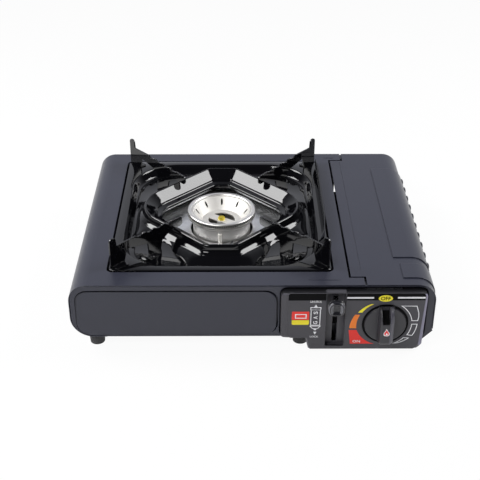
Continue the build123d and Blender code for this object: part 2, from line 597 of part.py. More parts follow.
def foot(x, y):
    """Rubber foot with a sunk hole for its screw."""
    body = Pos(x, y, 0) * Cone(FOOT_RADIUS - FOOT_TAPER, FOOT_RADIUS, CASING_Z - FIT,
                               align=(Align.CENTER, Align.CENTER, Align.MIN))
    body -= rod_z(SCREW_RADIUS + FIT, 0, CASING_Z, x, y, SCREW_SIDES)
    return body - rod_z(SCREW_HEAD + FIT, 0, CASING_Z / 2, x, y, SCREW_SIDES)


def foot_screws():
    """Screws up through the feet into the base plate."""
    screws = []
    for x, y in foot_points().values():
        head_top = CASING_Z / 2 - FIT
        screw = rod_z(SCREW_RADIUS, head_top, CASING_Z + SHEET + SCREW_BITE, x, y, SCREW_SIDES)
        screws.append(screw + rod_z(SCREW_HEAD, head_top - SCREW_HEAD_HEIGHT, head_top, x, y, SCREW_SIDES))
    return Compound(screws)


# ---------------------------------------------------------------- partition and tray
def mixer_line():
    """Start of the mixing tube at the burner's axis and its direction to the regulator."""
    run_x, run_y = NOZZLE_FROM_X - PAN_X, NOZZLE_FROM_Y - PAN_Y
    length = hypot(run_x, run_y)
    return Vector(PAN_X, PAN_Y, MIXER_Z), Vector(run_x / length, run_y / length, 0), length


def mixer_rod(radius, start, end):
    """Round bar on the mixing tube's axis, between two distances from the burner's axis."""
    origin, direction, _ = mixer_line()
    plane = Plane(origin=origin + direction * start, z_dir=direction)
    return extrude(plane * Circle(radius), amount=end - start)


def partition_plate():
    """Heat shield between the burner and the cartridge, flanged at foot and head."""
    floor = BAY_Z + SHEET + FIT
    top = LEDGE_Z - SHEET - TRAY_SHEET - 2 * FIT
    inner = FRONT + FLANGE + 1, BACK - FLANGE - 1
    half = SHEET / 2
    edge = PARTITION_X + PARTITION_FLANGE
    line = [(edge, floor + half), (PARTITION_X, floor + half), (PARTITION_X, top - half), (edge, top - half)]
    plate = along_y(sheet_path(line, 2 * SHEET, SHEET), *inner)
    origin, direction, _ = mixer_line()
    crossing = (PARTITION_X - origin.X) / direction.X
    reach = 2 * (MIXER_RADIUS + MIXER_CLEAR)
    return plate - mixer_rod(MIXER_RADIUS + MIXER_CLEAR, crossing - reach, crossing + reach)


def burner_tray():
    """Bright tray that hangs under the ledge, with holes for the pot and the electrode's post."""
    top = LEDGE_Z - SHEET - FIT
    tray = along_z(pan_opening(LEDGE - TRAY_SHEET), TRAY_Z - TRAY_SHEET, top)
    tray -= along_z(pan_opening(LEDGE), TRAY_Z, top)
    flange = along_z(pan_opening(TRAY_FLANGE_INSET) - pan_opening(LEDGE), top - TRAY_SHEET, top)
    tray += flange
    tray -= rod_z(TRAY_HOLE, TRAY_Z - TRAY_SHEET, TRAY_Z, PAN_X, PAN_Y)
    return tray - rod_z(ELECTRODE_RADIUS + POST_CLEAR, TRAY_Z - TRAY_SHEET, TRAY_Z, ELECTRODE_X, ELECTRODE_Y)


# ---------------------------------------------------------------- drip pan
def octagon(inset=0.0, radius=RIDGE_ROUND):
    """Plan of the ridge: a square on its corner with its corners cut off, then rounded."""
    flat, diagonal = RIDGE_FLAT - inset, RIDGE_DIAGONAL - inset
    shape = Rectangle(2 * flat, 2 * flat) & (Rot(0, 0, 45) * Rectangle(2 * diagonal, 2 * diagonal))
    shape = fillet(shape.vertices(), radius)
    return Pos(PAN_X, PAN_Y) * shape


def octagon_loft(z0, inset0, z1, inset1):
    """Solid between two rounded octagons."""
    return loft([Pos(0, 0, z0) * octagon(inset0), Pos(0, 0, z1) * octagon(inset1)])


def drip_pan():
    """Pressed pan: flat rim, sunk floor with rounded corners and a ridge round the burner."""
    floor = PAN_FLOOR_Z
    under = floor - PAN_SHEET
    outer = PAN_GAP
    inner = PAN_GAP + PAN_RIM
    pan = along_z(pan_opening(outer), PAN_RIM_Z - PAN_SKIRT - PAN_SHEET, PAN_RIM_Z)
    pan -= along_z(pan_opening(outer + PAN_SHEET), 0, PAN_RIM_Z - PAN_SHEET)

    def dish(grow, z0, z1):
        half_x = PAN_OPENING_X / 2 - inner + grow
        half_y = PAN_OPENING_Y / 2 - inner + grow
        low = Pos(PAN_X, PAN_Y, z0) * RectangleRounded(
            2 * (half_x - PAN_WALL_RUN), 2 * (half_y - PAN_WALL_RUN), PAN_FLOOR_RADIUS + grow)
        high = Pos(PAN_X, PAN_Y, z1) * RectangleRounded(
            2 * half_x, 2 * half_y, PAN_FLOOR_RADIUS + PAN_WALL_RUN + grow)
        return loft([low, high])

    pan += dish(PAN_SHEET, under, PAN_RIM_Z)
    pan -= dish(0, floor, PAN_RIM_Z + 0.001)

    ridge = octagon_loft(under, -RIDGE_BASE, RIDGE_Z, 1.0)
    basin = octagon_loft(BASIN_Z, RIDGE_BASIN, RIDGE_Z + 0.01, 2.0)
    hollow = octagon_loft(under - 0.01, -RIDGE_BASE + PAN_SHEET, RIDGE_Z - PAN_SHEET, 1.0 + PAN_SHEET)
    basin_skin = octagon_loft(BASIN_Z - PAN_SHEET, RIDGE_BASIN - PAN_SHEET, RIDGE_Z - PAN_SHEET, 2.0)
    lip = along_z(octagon(RIDGE_BASIN - PAN_SHEET), LIP_Z, BASIN_Z)
    pan += ridge
    pan -= hollow - basin_skin - lip
    pan -= basin
    pan -= along_z(octagon(RIDGE_BASIN), under - 1, RIDGE_Z)
    for x, y in pad_points():
        pan += pad(x, y, PAN_FLOOR_Z, PAD_Z)
        pan -= pad(x, y, PAN_FLOOR_Z - PAN_SHEET, PAD_Z - PAN_SHEET)
    return pan


def pad(x, y, z0, z1):
    """Shallow round emboss between two heights."""
    return Pos(x, y, z0) * Cone(PAD_RADIUS, PAD_RADIUS - PAD_SLOPE, z1 - z0,
                                align=(Align.CENTER, Align.CENTER, Align.MIN))


def pad_points():
    """Middles of the pads, under the supports' inner legs."""
    reach = 1 - (INNER_LEG_FROM + INNER_LEG_TO) / 2 / SUPPORT_CORNER
    return [(PAN_X + reach * x, PAN_Y + reach * y) for x, y in support_corners().values()]


def support_frame(corner_x, corner_y):
    """Upright plane of one support: across towards the burner, up, with its origin on the table."""
    start = Vector(PAN_X + corner_x, PAN_Y + corner_y, 0)
    direction = Vector(-corner_x, -corner_y, 0).normalized()
    return Plane(origin=start, x_dir=direction, z_dir=direction.cross(Vector(0, 0, 1)))


def support_profile():
    """Side view of a pan support: horn, scalloped edge, arch between two legs and a nose."""
    rest_rim, rest_floor, rest_crest = PAN_RIM_Z + FIT, PAD_Z + FIT, RIDGE_Z + FIT
    shape = polygon(
        (0, rest_rim), (0, HORN_Z), (HORN_WIDTH, HORN_Z), (HORN_WIDTH + 1, SUPPORT_Z),
        (SCALLOP_FROM, SUPPORT_Z), (SUPPORT_LENGTH, SUPPORT_END_Z), (SUPPORT_LENGTH, rest_crest),
        (INNER_LEG_TO + CREST_RUN, rest_crest), (INNER_LEG_TO + HEEL_RUN, rest_crest - HEEL_DROP),
        (INNER_LEG_TO, rest_floor), (INNER_LEG_FROM, rest_floor),
        (INNER_LEG_FROM - ARCH_LEAN, ARCH_END_Z), (ARCH_FROM, ARCH_Z), (OUTER_LEG, rest_rim),
    )
    shape = fillet(corners_at(shape, (0, HORN_Z), (HORN_WIDTH, HORN_Z)), HORN_WIDTH * 0.45)
    nose = corners_at(shape, (SUPPORT_LENGTH, SUPPORT_END_Z), (SUPPORT_LENGTH, rest_crest))
    shape = fillet(nose, NOSE_ROUND)
    pitch = (SUPPORT_LENGTH - SCALLOP_FROM) / SCALLOPS
    slope = (SUPPORT_END_Z - SUPPORT_Z) / (SUPPORT_LENGTH - SCALLOP_FROM)
    radius = (pitch / 2 - 1.5) ** 2 / (2 * SCALLOP_DEPTH) + SCALLOP_DEPTH / 2
    for i in range(SCALLOPS):
        s = SCALLOP_FROM + pitch * (i + 0.5)
        z = SUPPORT_Z + slope * (s - SCALLOP_FROM)
        if i < SCALLOPS - 1:
            shape -= Pos(s, z + radius - SCALLOP_DEPTH) * Circle(radius)
    return shape


def pan_support(corner_x, corner_y):
    """One blade with a foot tab on the rim and one on the floor."""
    frame = support_frame(corner_x, corner_y)
    side = 1 if corner_x * corner_y > 0 else -1
    blade = extrude(frame * support_profile(), amount=SUPPORT_SHEET / 2, both=True)
    inner_from = INNER_LEG_FROM - FOOT_TAB / 2
    tabs = ((OUTER_LEG - TAB_LENGTH, OUTER_LEG - 1, PAN_RIM_Z + FIT),
            (inner_from, inner_from + TAB_LENGTH, PAD_Z + FIT))
    for s0, s1, z in tabs:
        tab = rect(s0, s1, z, z + SUPPORT_SHEET)
        blade += extrude(frame * tab, amount=side * FOOT_TAB)
    return blade


def support_corners():
    """Outer ends of the four supports, from the burner's axis."""
    return {
        "front_left": (-SUPPORT_CORNER_X, -SUPPORT_CORNER_Y),
        "front_right": (SUPPORT_CORNER_X, -SUPPORT_CORNER_Y),
        "rear_left": (-SUPPORT_CORNER_X, SUPPORT_CORNER_Y),
        "rear_right": (SUPPORT_CORNER_X, SUPPORT_CORNER_Y),
    }


def support_rivets():
    """Domed rivet heads on the supports' inner tabs."""
    heads = []
    for x, y in support_corners().values():
        frame = support_frame(x, y)
        side = 1 if x * y > 0 else -1
        centre = frame.origin + frame.x_dir * INNER_LEG_FROM + frame.z_dir * (side * RIVET_OUT)
        z = PAD_Z + FIT + SUPPORT_SHEET
        head = rod_z(RIVET_RADIUS, z, z + RIVET_HEAD, centre.X, centre.Y, 2 * SCREW_SIDES)
        heads.append(chamfer(head.edges().group_by(Axis.Z)[-1], RIVET_HEAD * 0.6))
    return Compound(heads)


def heat_guard():
    """Thin upright fence along the pan's right rim, on the cartridge's side."""
    edge = PAN_X + PAN_OPENING_X / 2 - PAN_GAP - GUARD_SHEET
    front_lean, bend_lean, back_lean = GUARD_LEANS
    front, back = PAN_FRONT + GUARD_FRONT_INSET, PAN_BACK - GUARD_BACK_INSET
    bend = front + GUARD_FRONT_RUN
    line = [(edge - back_lean, back), (edge, back - GUARD_BACK_RUN), (edge, bend + GUARD_MID_RUN),
            (edge - bend_lean, bend), (edge - front_lean, front)]
    return along_z(sheet_path(line, GUARD_BEND, GUARD_SHEET), PAN_RIM_Z + FIT, GUARD_Z)


# ---------------------------------------------------------------- burner
def at_burner(shape):
    """Move a shape from the Z axis to the burner's axis."""
    return Pos(PAN_X, PAN_Y, 0) * shape


def ring_body(*points):
    """Turned piece from its half section in radius and height."""
    return revolve(Plane.XZ * polygon(*points), axis=Axis.Z)


def burner_head():
    """Cap ring with flame ports cut round its lower edge."""
    section = polygon((HEAD_BORE, HEAD_BASE_Z), (HEAD_RADIUS, HEAD_BASE_Z),
                      (HEAD_RADIUS, HEAD_Z), (HEAD_BORE, HEAD_Z))
    section = chamfer(corners_at(section, (HEAD_RADIUS, HEAD_Z), (HEAD_BORE, HEAD_Z)), HEAD_CHAMFER)
    ring = revolve(Plane.XZ * section, axis=Axis.Z)
    slot = Pos((HEAD_BORE + HEAD_RADIUS) / 2 + 1.5, 0, HEAD_BASE_Z + PORT_HEIGHT / 2) * Box(
        HEAD_RADIUS - HEAD_BORE, PORT_WIDTH, PORT_HEIGHT)
    ring -= [Rot(0, 0, 360 / PORTS * i) * slot for i in range(PORTS)]
    return at_burner(ring)


def burner_bowl():
    """Dished insert inside the head ring, with a bridge across its open centre."""
    edge = HEAD_BORE - FIT
    wall = BOWL_WALL
    bowl = ring_body(
        (0, BOWL_FLOOR_Z), (BOWL_FLOOR_RADIUS + wall, BOWL_FLOOR_Z), (edge, HEAD_Z - 3.5),
        (edge, HEAD_Z - 1.5), (edge - wall, HEAD_Z - 1.5), (BOWL_FLOOR_RADIUS, BOWL_FLOOR_Z + wall),
        (0, BOWL_FLOOR_Z + wall),
    )
    moon = Circle(BOWL_FLOOR_RADIUS - MOON_MARGIN) - Rectangle(2 * BOWL_FLOOR_RADIUS, BRIDGE_WIDTH)
    bowl -= Rot(0, 0, BRIDGE_TURN) * along_z(moon, BOWL_FLOOR_Z, BOWL_FLOOR_Z + 2 * wall)
    hole = rod_z(BOWL_HOLE, BOWL_FLOOR_Z + wall, HEAD_Z, BOWL_FLOOR_RADIUS + BOWL_HOLE_OUT, 0, SCREW_SIDES)
    bowl -= [Rot(0, 0, 360 / BOWL_HOLES * i + 10) * hole for i in range(BOWL_HOLES)]
    bowl -= rod_z(SCREW_RADIUS + FIT, BOWL_FLOOR_Z, HEAD_Z, 0, 0, SCREW_SIDES)
    return at_burner(bowl)


def burner_screw():
    """Brass screw that holds the bowl and head down on the pot."""
    top = BOWL_FLOOR_Z + BOWL_WALL + FIT
    screw = rod_z(SCREW_RADIUS, POT_BASE_Z + 4, top, 0, 0, SCREW_SIDES)
    head = extrude(Pos(0, 0, top) * RegularPolygon(NUT_RADIUS, 6), amount=NUT_HEIGHT)
    return at_burner(screw + head)


def burner_body():
    """Cast pot with its mixing tube and bell mouth in one piece."""
    _, _, length = mixer_line()
    mouth = length - MOUTH_GAP
    pot = at_burner(rod_z(POT_RADIUS, POT_BASE_Z, HEAD_BASE_Z - FIT, 0, 0))
    pot += mixer_rod(MIXER_RADIUS, POT_RADIUS - 4, mouth)
    pot += mixer_rod(MIXER_RADIUS + 2, mouth - 6, mouth)
    hollow = at_burner(rod_z(POT_RADIUS - POT_WALL, POT_BASE_Z + POT_WALL, HEAD_BASE_Z, 0, 0))
    pot -= hollow
    pot -= mixer_rod(MIXER_BORE, POT_RADIUS - 6, mouth)
    pot += at_burner(rod_z(PILLAR_RADIUS, POT_BASE_Z, BOWL_FLOOR_Z - FIT, 0, 0))
    return pot - at_burner(rod_z(SCREW_RADIUS + FIT, POT_BASE_Z + 3, HEAD_BASE_Z, 0, 0, SCREW_SIDES))


def burner_bracket():
    """Bridge that lifts the pot off the base plate."""
    half = SHEET / 2
    floor, top = CASING_Z + SHEET + FIT, POT_BASE_Z - FIT
    wall, edge = SADDLE_HALF, SADDLE_HALF + SADDLE_FOOT
    line = [(-edge, floor + half), (-wall, floor + half), (-wall, top - half), (wall, top - half),
            (wall, floor + half), (edge, floor + half)]
    section = along_y(sheet_path(line, SHEET, SHEET), PAN_Y - SADDLE_DEPTH / 2, PAN_Y + SADDLE_DEPTH / 2)
    return Pos(PAN_X, 0, 0) * section


def electrode_insulator():
    """Ceramic post in front of the burner."""
    x, y, low = ELECTRODE_X, ELECTRODE_Y, TRAY_Z - POST_TAIL
    post = rod_z(ELECTRODE_RADIUS, low, ELECTRODE_TOP_Z, x, y)
    return post - rod_z(WIRE_RADIUS + FIT, low, ELECTRODE_TOP_Z, x, y, SCREW_SIDES)


def ignition_electrode():
    """Wire through the post, with its tip beside the flame ports."""
    low, high = TRAY_Z - WIRE_TAIL, ELECTRODE_TOP_Z + WIRE_TIP
    return rod_z(WIRE_RADIUS, low, high, ELECTRODE_X, ELECTRODE_Y, SCREW_SIDES)


def electrode_bracket():
    """Strip on the tray that clamps the post, with one end turned up."""
    x, y, z = ELECTRODE_X, ELECTRODE_Y, TRAY_Z + FIT
    plan = rect(x - CLAMP_HALF - 1, x + CLAMP_REACH, y - CLAMP_HALF, y + CLAMP_HALF, 2)
    strip = along_z(plan, z, z + SHEET)
    collar = rod_z(ELECTRODE_RADIUS + CLAMP_RIM, z, z + CLAMP_HEIGHT, x, y)
    foot_x, tip_x = x + CLAMP_HALF + 1, x + CLAMP_REACH - 2
    fin = polygon((foot_x, z + SHEET), (foot_x + 1.4, z + SHEET),
                  (tip_x + 1.2, z + FIN_HEIGHT), (tip_x, z + FIN_HEIGHT))
    bracket = strip + collar + along_y(fin, y - CLAMP_HALF / 2, y + CLAMP_HALF / 2)
    return bracket - rod_z(ELECTRODE_RADIUS + FIT, z, z + CLAMP_HEIGHT, x, y)


# ---------------------------------------------------------------- cartridge bay and lid
def cartridge_cradle():
    """Curved rest under the cartridge."""
    arc = Circle(CARTRIDGE_RADIUS + FIT + CRADLE_SHEET) - Circle(CARTRIDGE_RADIUS + FIT)
    arc &= rect(-CRADLE_HALF_WIDTH, CRADLE_HALF_WIDTH, -CARTRIDGE_Z, -CARTRIDGE_RADIUS / 2)
    return along_y(Pos(CARTRIDGE_X, CARTRIDGE_Z) * arc, FRONT + CRADLE_FRONT_INSET, BACK - CRADLE_BACK_INSET)


def lid_band(outer, inner, from_x, low_z):
    """Section of the lid's wrap between two offsets, right of from_x and above low_z."""
    band = body_outline(-outer) - body_outline(-inner)
    band &= rect(from_x, RIGHT + 5, low_z, TOP_Z + 5)
    return band


def cartridge_lid():
    """Top and right side over the bay in one wrap, with a raised panel, louvres and hinge ears."""
    lid = along_y(lid_band(0, -SHEET, LID_LEFT, LID_EDGE_Z), FRONT + FIT, BACK - FIT)
    for y0, y1, x0, low in ((EMBOSS_FRONT_Y, EMBOSS_BACK_Y, EMBOSS_FROM_X, LID_EDGE_Z + EMBOSS_LOW),
                            (GRIP_FRONT_Y, GRIP_BACK_Y, GRIP_X, TOP_Z - GRIP_DROP)):
        lid += along_y(lid_band(EMBOSS_RISE, -SHEET, x0, low), y0, y1)
        under = lid_band(EMBOSS_RISE - SHEET, -SHEET, x0 + SHEET, low + SHEET)
        lid -= along_y(under, y0 + SHEET, y1 - SHEET)
    crease_x = LID_LEFT + CREASE_REACH
    lid -= along_z(rect(crease_x, crease_x + CREASE_WIDTH, FRONT + CREASE_FRONT_INSET,
                        BACK - CREASE_BACK_INSET), TOP_Z - CREASE_DEPTH, TOP_Z)
    for y0, y1 in ((FRONT, FRONT + TAB_FRONT + SEAM_GAP), (BACK - TAB_BACK - SEAM_GAP, BACK)):
        lid -= along_z(rect(LID_LEFT, TAB_X + SEAM_GAP, y0, y1), TOP_Z / 2, TOP_Z)
    face = RIGHT + EMBOSS_RISE
    for i in range(LOUVRES):
        y = EMBOSS_FRONT_Y + LOUVRE_SETBACK + LOUVRE_PITCH * i
        root, crest = face - SHEET / 2, face + LOUVRE_RISE
        hood = along_z(polygon((root, y - LOUVRE_HALF), (root, y + LOUVRE_HALF), (crest, y + LOUVRE_CREST),
                               (crest, y - LOUVRE_CREST)), LOUVRE_FROM_Z, LOUVRE_TO_Z)
        ends = hood.faces().sort_by(Axis.X)[-1].edges()
        lid += chamfer(ends.sort_by(Axis.Z)[0:1] + ends.sort_by(Axis.Z)[-1:], LOUVRE_END)
    for y in ear_places():
        ear = rect(LID_LEFT, LID_LEFT + EAR_WIDTH, HINGE_Z - EAR_DROP, TOP_Z - SHEET)
        lid += along_y(ear, y, y + SHEET)
        lid -= rod_y(HINGE_PIN + RUNNING, y, y + SHEET, HINGE_X, HINGE_Z)
    return lid


def ear_places():
    """Front faces of the lid's two hinge ears."""
    return FRONT + TAB_FRONT + SEAM_GAP, BACK - TAB_BACK - SEAM_GAP - SHEET


def hinge_bracket(ear_y, side):
    """Plate that carries a hinge pin beside one ear, hung from the fixed top."""
    y = ear_y - HINGE_GAP - SHEET if side < 0 else ear_y + SHEET + HINGE_GAP
    half = SHEET / 2
    top = TOP_Z - 2 * SHEET - NEST - FIT
    line = [(y + side * HANGER_REACH, top - half), (y + half, top - half), (y + half, HINGE_Z - HANGER_DROP)]
    bracket = along_x(sheet_path(line, SHEET, SHEET), HINGE_X - HANGER_HALF, HINGE_X + HANGER_HALF)
    return bracket - rod_y(HINGE_PIN + FIT / 2, y - SHEET, y + 2 * SHEET, HINGE_X, HINGE_Z)


def lid_hinge_pins():
    """The two pins that the lid swings on."""
    front_y, back_y = ear_places()
    front_end, back_end = front_y + SHEET + HINGE_GAP, back_y - HINGE_GAP
    front = rod_y(HINGE_PIN, front_y - HINGE_PIN_PAST, front_end, HINGE_X, HINGE_Z)
    front += rod_y(HINGE_PIN + HINGE_PIN_HEAD, front_end, front_end + 1, HINGE_X, HINGE_Z)
    back = rod_y(HINGE_PIN, back_end, back_y + SHEET + HINGE_PIN_PAST, HINGE_X, HINGE_Z)
    back += rod_y(HINGE_PIN + HINGE_PIN_HEAD, back_end - 1, back_end, HINGE_X, HINGE_Z)
    return Compound([front, back])


# ---------------------------------------------------------------- regulator
def regulator_body():
    """Cast body with the cartridge socket, the valve's boss and the nozzle's boss."""
    body = rod_y(REGULATOR_RADIUS, REGULATOR_FRONT_Y, REGULATOR_BACK_Y, CARTRIDGE_X, CARTRIDGE_Z)
    body += rod_y(SPIGOT_RADIUS, REGULATOR_BACK_Y, REGULATOR_BACK_Y + SPIGOT_LENGTH, CARTRIDGE_X, CARTRIDGE_Z)
    body += rod_y(VALVE_BOSS, VALVE_BOSS_Y, REGULATOR_FRONT_Y, KNOB_X, KNOB_Z)
    body += rod_z(CAP_RADIUS, CARTRIDGE_Z, CAP_Z, CARTRIDGE_X, REGULATOR_MID_Y)
    _, _, length = mixer_line()
    body += mixer_rod(NOZZLE_BOSS, length - NOZZLE_BOSS_LENGTH, length)
    body -= mixer_rod(NOZZLE_RADIUS + FIT, length - NOZZLE_BOSS_LENGTH, length - NOZZLE_BOSS)
    socket_end = REGULATOR_BACK_Y + SPIGOT_LENGTH
    body -= rod_y(SOCKET_RADIUS, socket_end - SOCKET_DEPTH, socket_end, CARTRIDGE_X, CARTRIDGE_Z)
    body -= rod_y(SPINDLE_RADIUS + RUNNING, VALVE_BOSS_Y, VALVE_BOSS_Y + SPINDLE_DEPTH, KNOB_X, KNOB_Z)
    for x, y in cap_screw_points():
        body -= rod_z(CAP_SCREW + FIT / 2, CAP_Z - CAP_SCREW_LENGTH - 1, CAP_Z, x, y, SCREW_SIDES)
    return body


def cap_screw_points():
    """Screws of the regulator's cap."""
    reach = CAP_RADIUS - CAP_SCREW_INSET
    return [(CARTRIDGE_X + reach * cos(radians(a)), REGULATOR_MID_Y + reach * sin(radians(a)))
            for a in (45, 135, 225, 315)]


def regulator_cap():
    """Domed cover over the diaphragm."""
    z = CAP_Z + FIT
    cap = rod_z(CAP_RADIUS, z, z + CAP_PLATE, CARTRIDGE_X, REGULATOR_MID_Y)
    dome = rod_z(CAP_DOME_RADIUS, z, z + CAP_DOME, CARTRIDGE_X, REGULATOR_MID_Y)
    cap += chamfer(dome.edges().group_by(Axis.Z)[-1], 1)
    for x, y in cap_screw_points():
        cap -= rod_z(CAP_SCREW + FIT / 2, z, z + CAP_PLATE, x, y, SCREW_SIDES)
    return cap


def regulator_screws():
    """Cap screws."""
    z = CAP_Z + CAP_PLATE + 2 * FIT
    return Compound([rod_z(CAP_SCREW, z - CAP_SCREW_LENGTH, z, x, y, SCREW_SIDES)
                     + rod_z(CAP_SCREW_HEAD, z, z + CAP_SCREW_TOP, x, y, SCREW_SIDES)
                     for x, y in cap_screw_points()])


def regulator_bracket():
    """Bracket behind the front panel that the regulator's boss passes through."""
    half = SHEET / 2
    back_y = REGULATOR_FRONT_Y - YOKE_GAP - half
    front_y = FRONT + FIT + SHEET + FIT + half
    high, low = APERTURE_HIGH + APERTURE_LAP, APERTURE_LOW - YOKE_LOW
    line = [(front_y, high + YOKE_FOOT), (front_y, high), (back_y, high),
            (back_y, low), (front_y, low), (front_y, low + YOKE_FOOT)]
    bracket = along_x(sheet_path(line, 1.2, SHEET), KNOB_X - YOKE_LEFT, KNOB_X + YOKE_RIGHT)
    return bracket - rod_y(VALVE_BOSS + FIT, back_y - half, back_y + half, KNOB_X, KNOB_Z)


def gas_nozzle():
    """Brass jet that points into the mixing tube."""
    _, _, length = mixer_line()
    boss = length - NOZZLE_BOSS_LENGTH
    jet = mixer_rod(NOZZLE_RADIUS, boss - 4, boss + 9) + mixer_rod(NOZZLE_HEX, boss - 5, boss - FIT)
    jet += mixer_rod(NOZZLE_RADIUS - 0.5, boss - 10, boss - 4)
    return jet - mixer_rod(JET_RADIUS, boss - 11, boss + 9)


def valve_spindle():
    """Spindle from the valve to the knob, with the igniter's cam on it."""
    end, r = PANEL_FACE_Y - SPINDLE_PROUD, SPINDLE_RADIUS
    spindle = rod_y(r, end, VALVE_BOSS_Y + SPINDLE_DEPTH - 2, KNOB_X, KNOB_Z)
    flat = rect(KNOB_X - r, KNOB_X + r, KNOB_Z + SPINDLE_FLAT, KNOB_Z + r)
    return spindle - along_y(flat, end, end + SPINDLE_FLAT_LENGTH)


def ignition_cam():
    """Spiral cam: its radius grows evenly with the angle, so the igniter moves evenly with the knob."""
    steps, back_steps = 24, 16
    lobe = []
    for i in range(steps + 1):
        turn = KNOB_TURN * i / steps
        radius = CAM_RADIUS + CAM_RISE * turn / KNOB_TURN
        lobe.append((radius * cos(radians(-turn)), radius * sin(radians(-turn))))
    for i in range(1, back_steps):
        turn = KNOB_TURN + (360 - KNOB_TURN - CAM_LEAD) * i / (back_steps - 1)
        fall = max(0.0, 1 - 2.2 * i / (back_steps - 1))
        radius = CAM_RADIUS - CAM_RELIEF + (CAM_RISE + CAM_RELIEF) * fall
        lobe.append((radius * cos(radians(-turn)), radius * sin(radians(-turn))))
    cam = along_y(Pos(KNOB_X, KNOB_Z) * polygon(*lobe), CAM_Y - CAM_WIDTH / 2, CAM_Y + CAM_WIDTH / 2)
    return cam - rod_y(SPINDLE_RADIUS + FIT / 2, CAM_Y - CAM_WIDTH, CAM_Y + CAM_WIDTH, KNOB_X, KNOB_Z)


def piezo_igniter():
    """Igniter body on the back of the front panel."""
    panel_back = FRONT + FIT + SHEET + FIT
    body = rod_x(PIEZO_RADIUS, PIEZO_FROM_X, PIEZO_TO_X, CAM_Y, KNOB_Z)
    block = rect(panel_back, CAM_Y, KNOB_Z - PIEZO_HALF, KNOB_Z + PIEZO_HALF)
    body += along_x(block, PIEZO_FROM_X + PIEZO_RADIUS, PIEZO_TO_X - PIEZO_RADIUS)
    return body - rod_x(PLUNGER_RADIUS + RUNNING, PIEZO_FROM_X, PIEZO_TO_X - PIEZO_END, CAM_Y, KNOB_Z)


def piezo_plunger():
    """Striker that the cam pushes into the igniter."""
    tip = KNOB_X + CAM_RADIUS + CAM_GAP
    plunger = rod_x(PLUNGER_RADIUS, tip + 1, PIEZO_TO_X - PIEZO_END - CAM_RISE - 1, CAM_Y, KNOB_Z)
    return plunger + Pos(tip + PLUNGER_RADIUS, CAM_Y, KNOB_Z) * Sphere(PLUNGER_RADIUS)


# ---------------------------------------------------------------- control panel and knob
def panel_outline(bevel, grow=0.0):
    """Front view of the control panel; the bevel narrows its sides."""
    left, right = PANEL_LEFT + bevel - grow, PANEL_RIGHT - bevel * 0.85 + grow
    top = PANEL_TOP + grow - bevel * 0.15
    low, shelf = PANEL_LOW - grow + bevel * 0.05, PANEL_SHELF - grow
    return polygon(
        (left, top), (left, shelf), (PANEL_STEP - grow, shelf), (PANEL_STEP + PANEL_TONGUE_LEAN - grow, low),
        (right - PANEL_CORNER, low), (right, low + PANEL_CORNER * 2 / 3), (right, top),
    )


def panel_screw_points():
    """Screws that hold the control panel, from behind."""
    left, right = PANEL_LEFT + PANEL_SCREW_LEFT, PANEL_RIGHT - PANEL_SCREW_RIGHT
    high = PANEL_TOP - PANEL_SCREW_DROP
    low_left, low_right = PANEL_SHELF + PANEL_SCREW_LIFT, PANEL_LOW + PANEL_SCREW_LOW
    return [(left, high), (left, low_left), (right, high), (right, low_right)]


def control_panel():
    """Moulded front cover with the knob's recess and the lever's channel."""
    base, face = FRONT - FIT / 2, PANEL_FACE_Y
    flat = Plane.XZ
    panel = loft([flat.offset(-base) * panel_outline(0), flat.offset(-face) * panel_outline(PANEL_BEVEL)])
    hollow = loft([flat.offset(-base) * panel_outline(0, -PANEL_WALL),
                   flat.offset(-(face + PANEL_WALL)) * panel_outline(PANEL_BEVEL, -PANEL_WALL)])
    recess_y = face + KNOB_RECESS_DEPTH
    well = rod_y(KNOB_RECESS + PANEL_WALL, face + 0.5, recess_y + PANEL_WALL, KNOB_X, KNOB_Z)
    channel_y = face + CHANNEL_DEPTH
    trough = along_y(rect(CHANNEL_LEFT - PANEL_WALL, CHANNEL_RIGHT + PANEL_WALL, CHANNEL_LOW - PANEL_WALL,
                          CHANNEL_HIGH + PANEL_WALL - 1), face + 0.5, channel_y + PANEL_WALL)
    panel -= hollow - well - trough
    for x, z in panel_screw_points():
        panel += rod_y(PANEL_POST, face + PANEL_WALL / 2, base, x, z, SCREW_SIDES)
        panel -= rod_y(SCREW_RADIUS + FIT / 2, face + PANEL_WALL + 1, base, x, z, SCREW_SIDES)
    panel -= rod_y(KNOB_RECESS, face, recess_y, KNOB_X, KNOB_Z)
    panel -= rod_y(SPINDLE_RADIUS + BOSS_CLEAR, face, base, KNOB_X, KNOB_Z)
    panel -= along_y(rect(CHANNEL_LEFT, CHANNEL_RIGHT, CHANNEL_LOW, CHANNEL_HIGH, 1.5), face, channel_y)
    slot = rect(LEVER_X - SLOT_WIDTH / 2, LEVER_X + SLOT_WIDTH / 2, SLOT_LOW, SLOT_HIGH)
    return panel - along_y(slot, face, base)


def panel_screws():
    """Screws through the front panel into the control panel's posts."""
    back = FRONT + FIT + SHEET + FIT
    start, end = PANEL_FACE_Y + PANEL_WALL + 1.5, back + SCREW_HEAD_HEIGHT
    return Compound([rod_y(SCREW_RADIUS, start, back, x, z, SCREW_SIDES)
                     + rod_y(SCREW_HEAD, back, end, x, z, SCREW_SIDES) for x, z in panel_screw_points()])


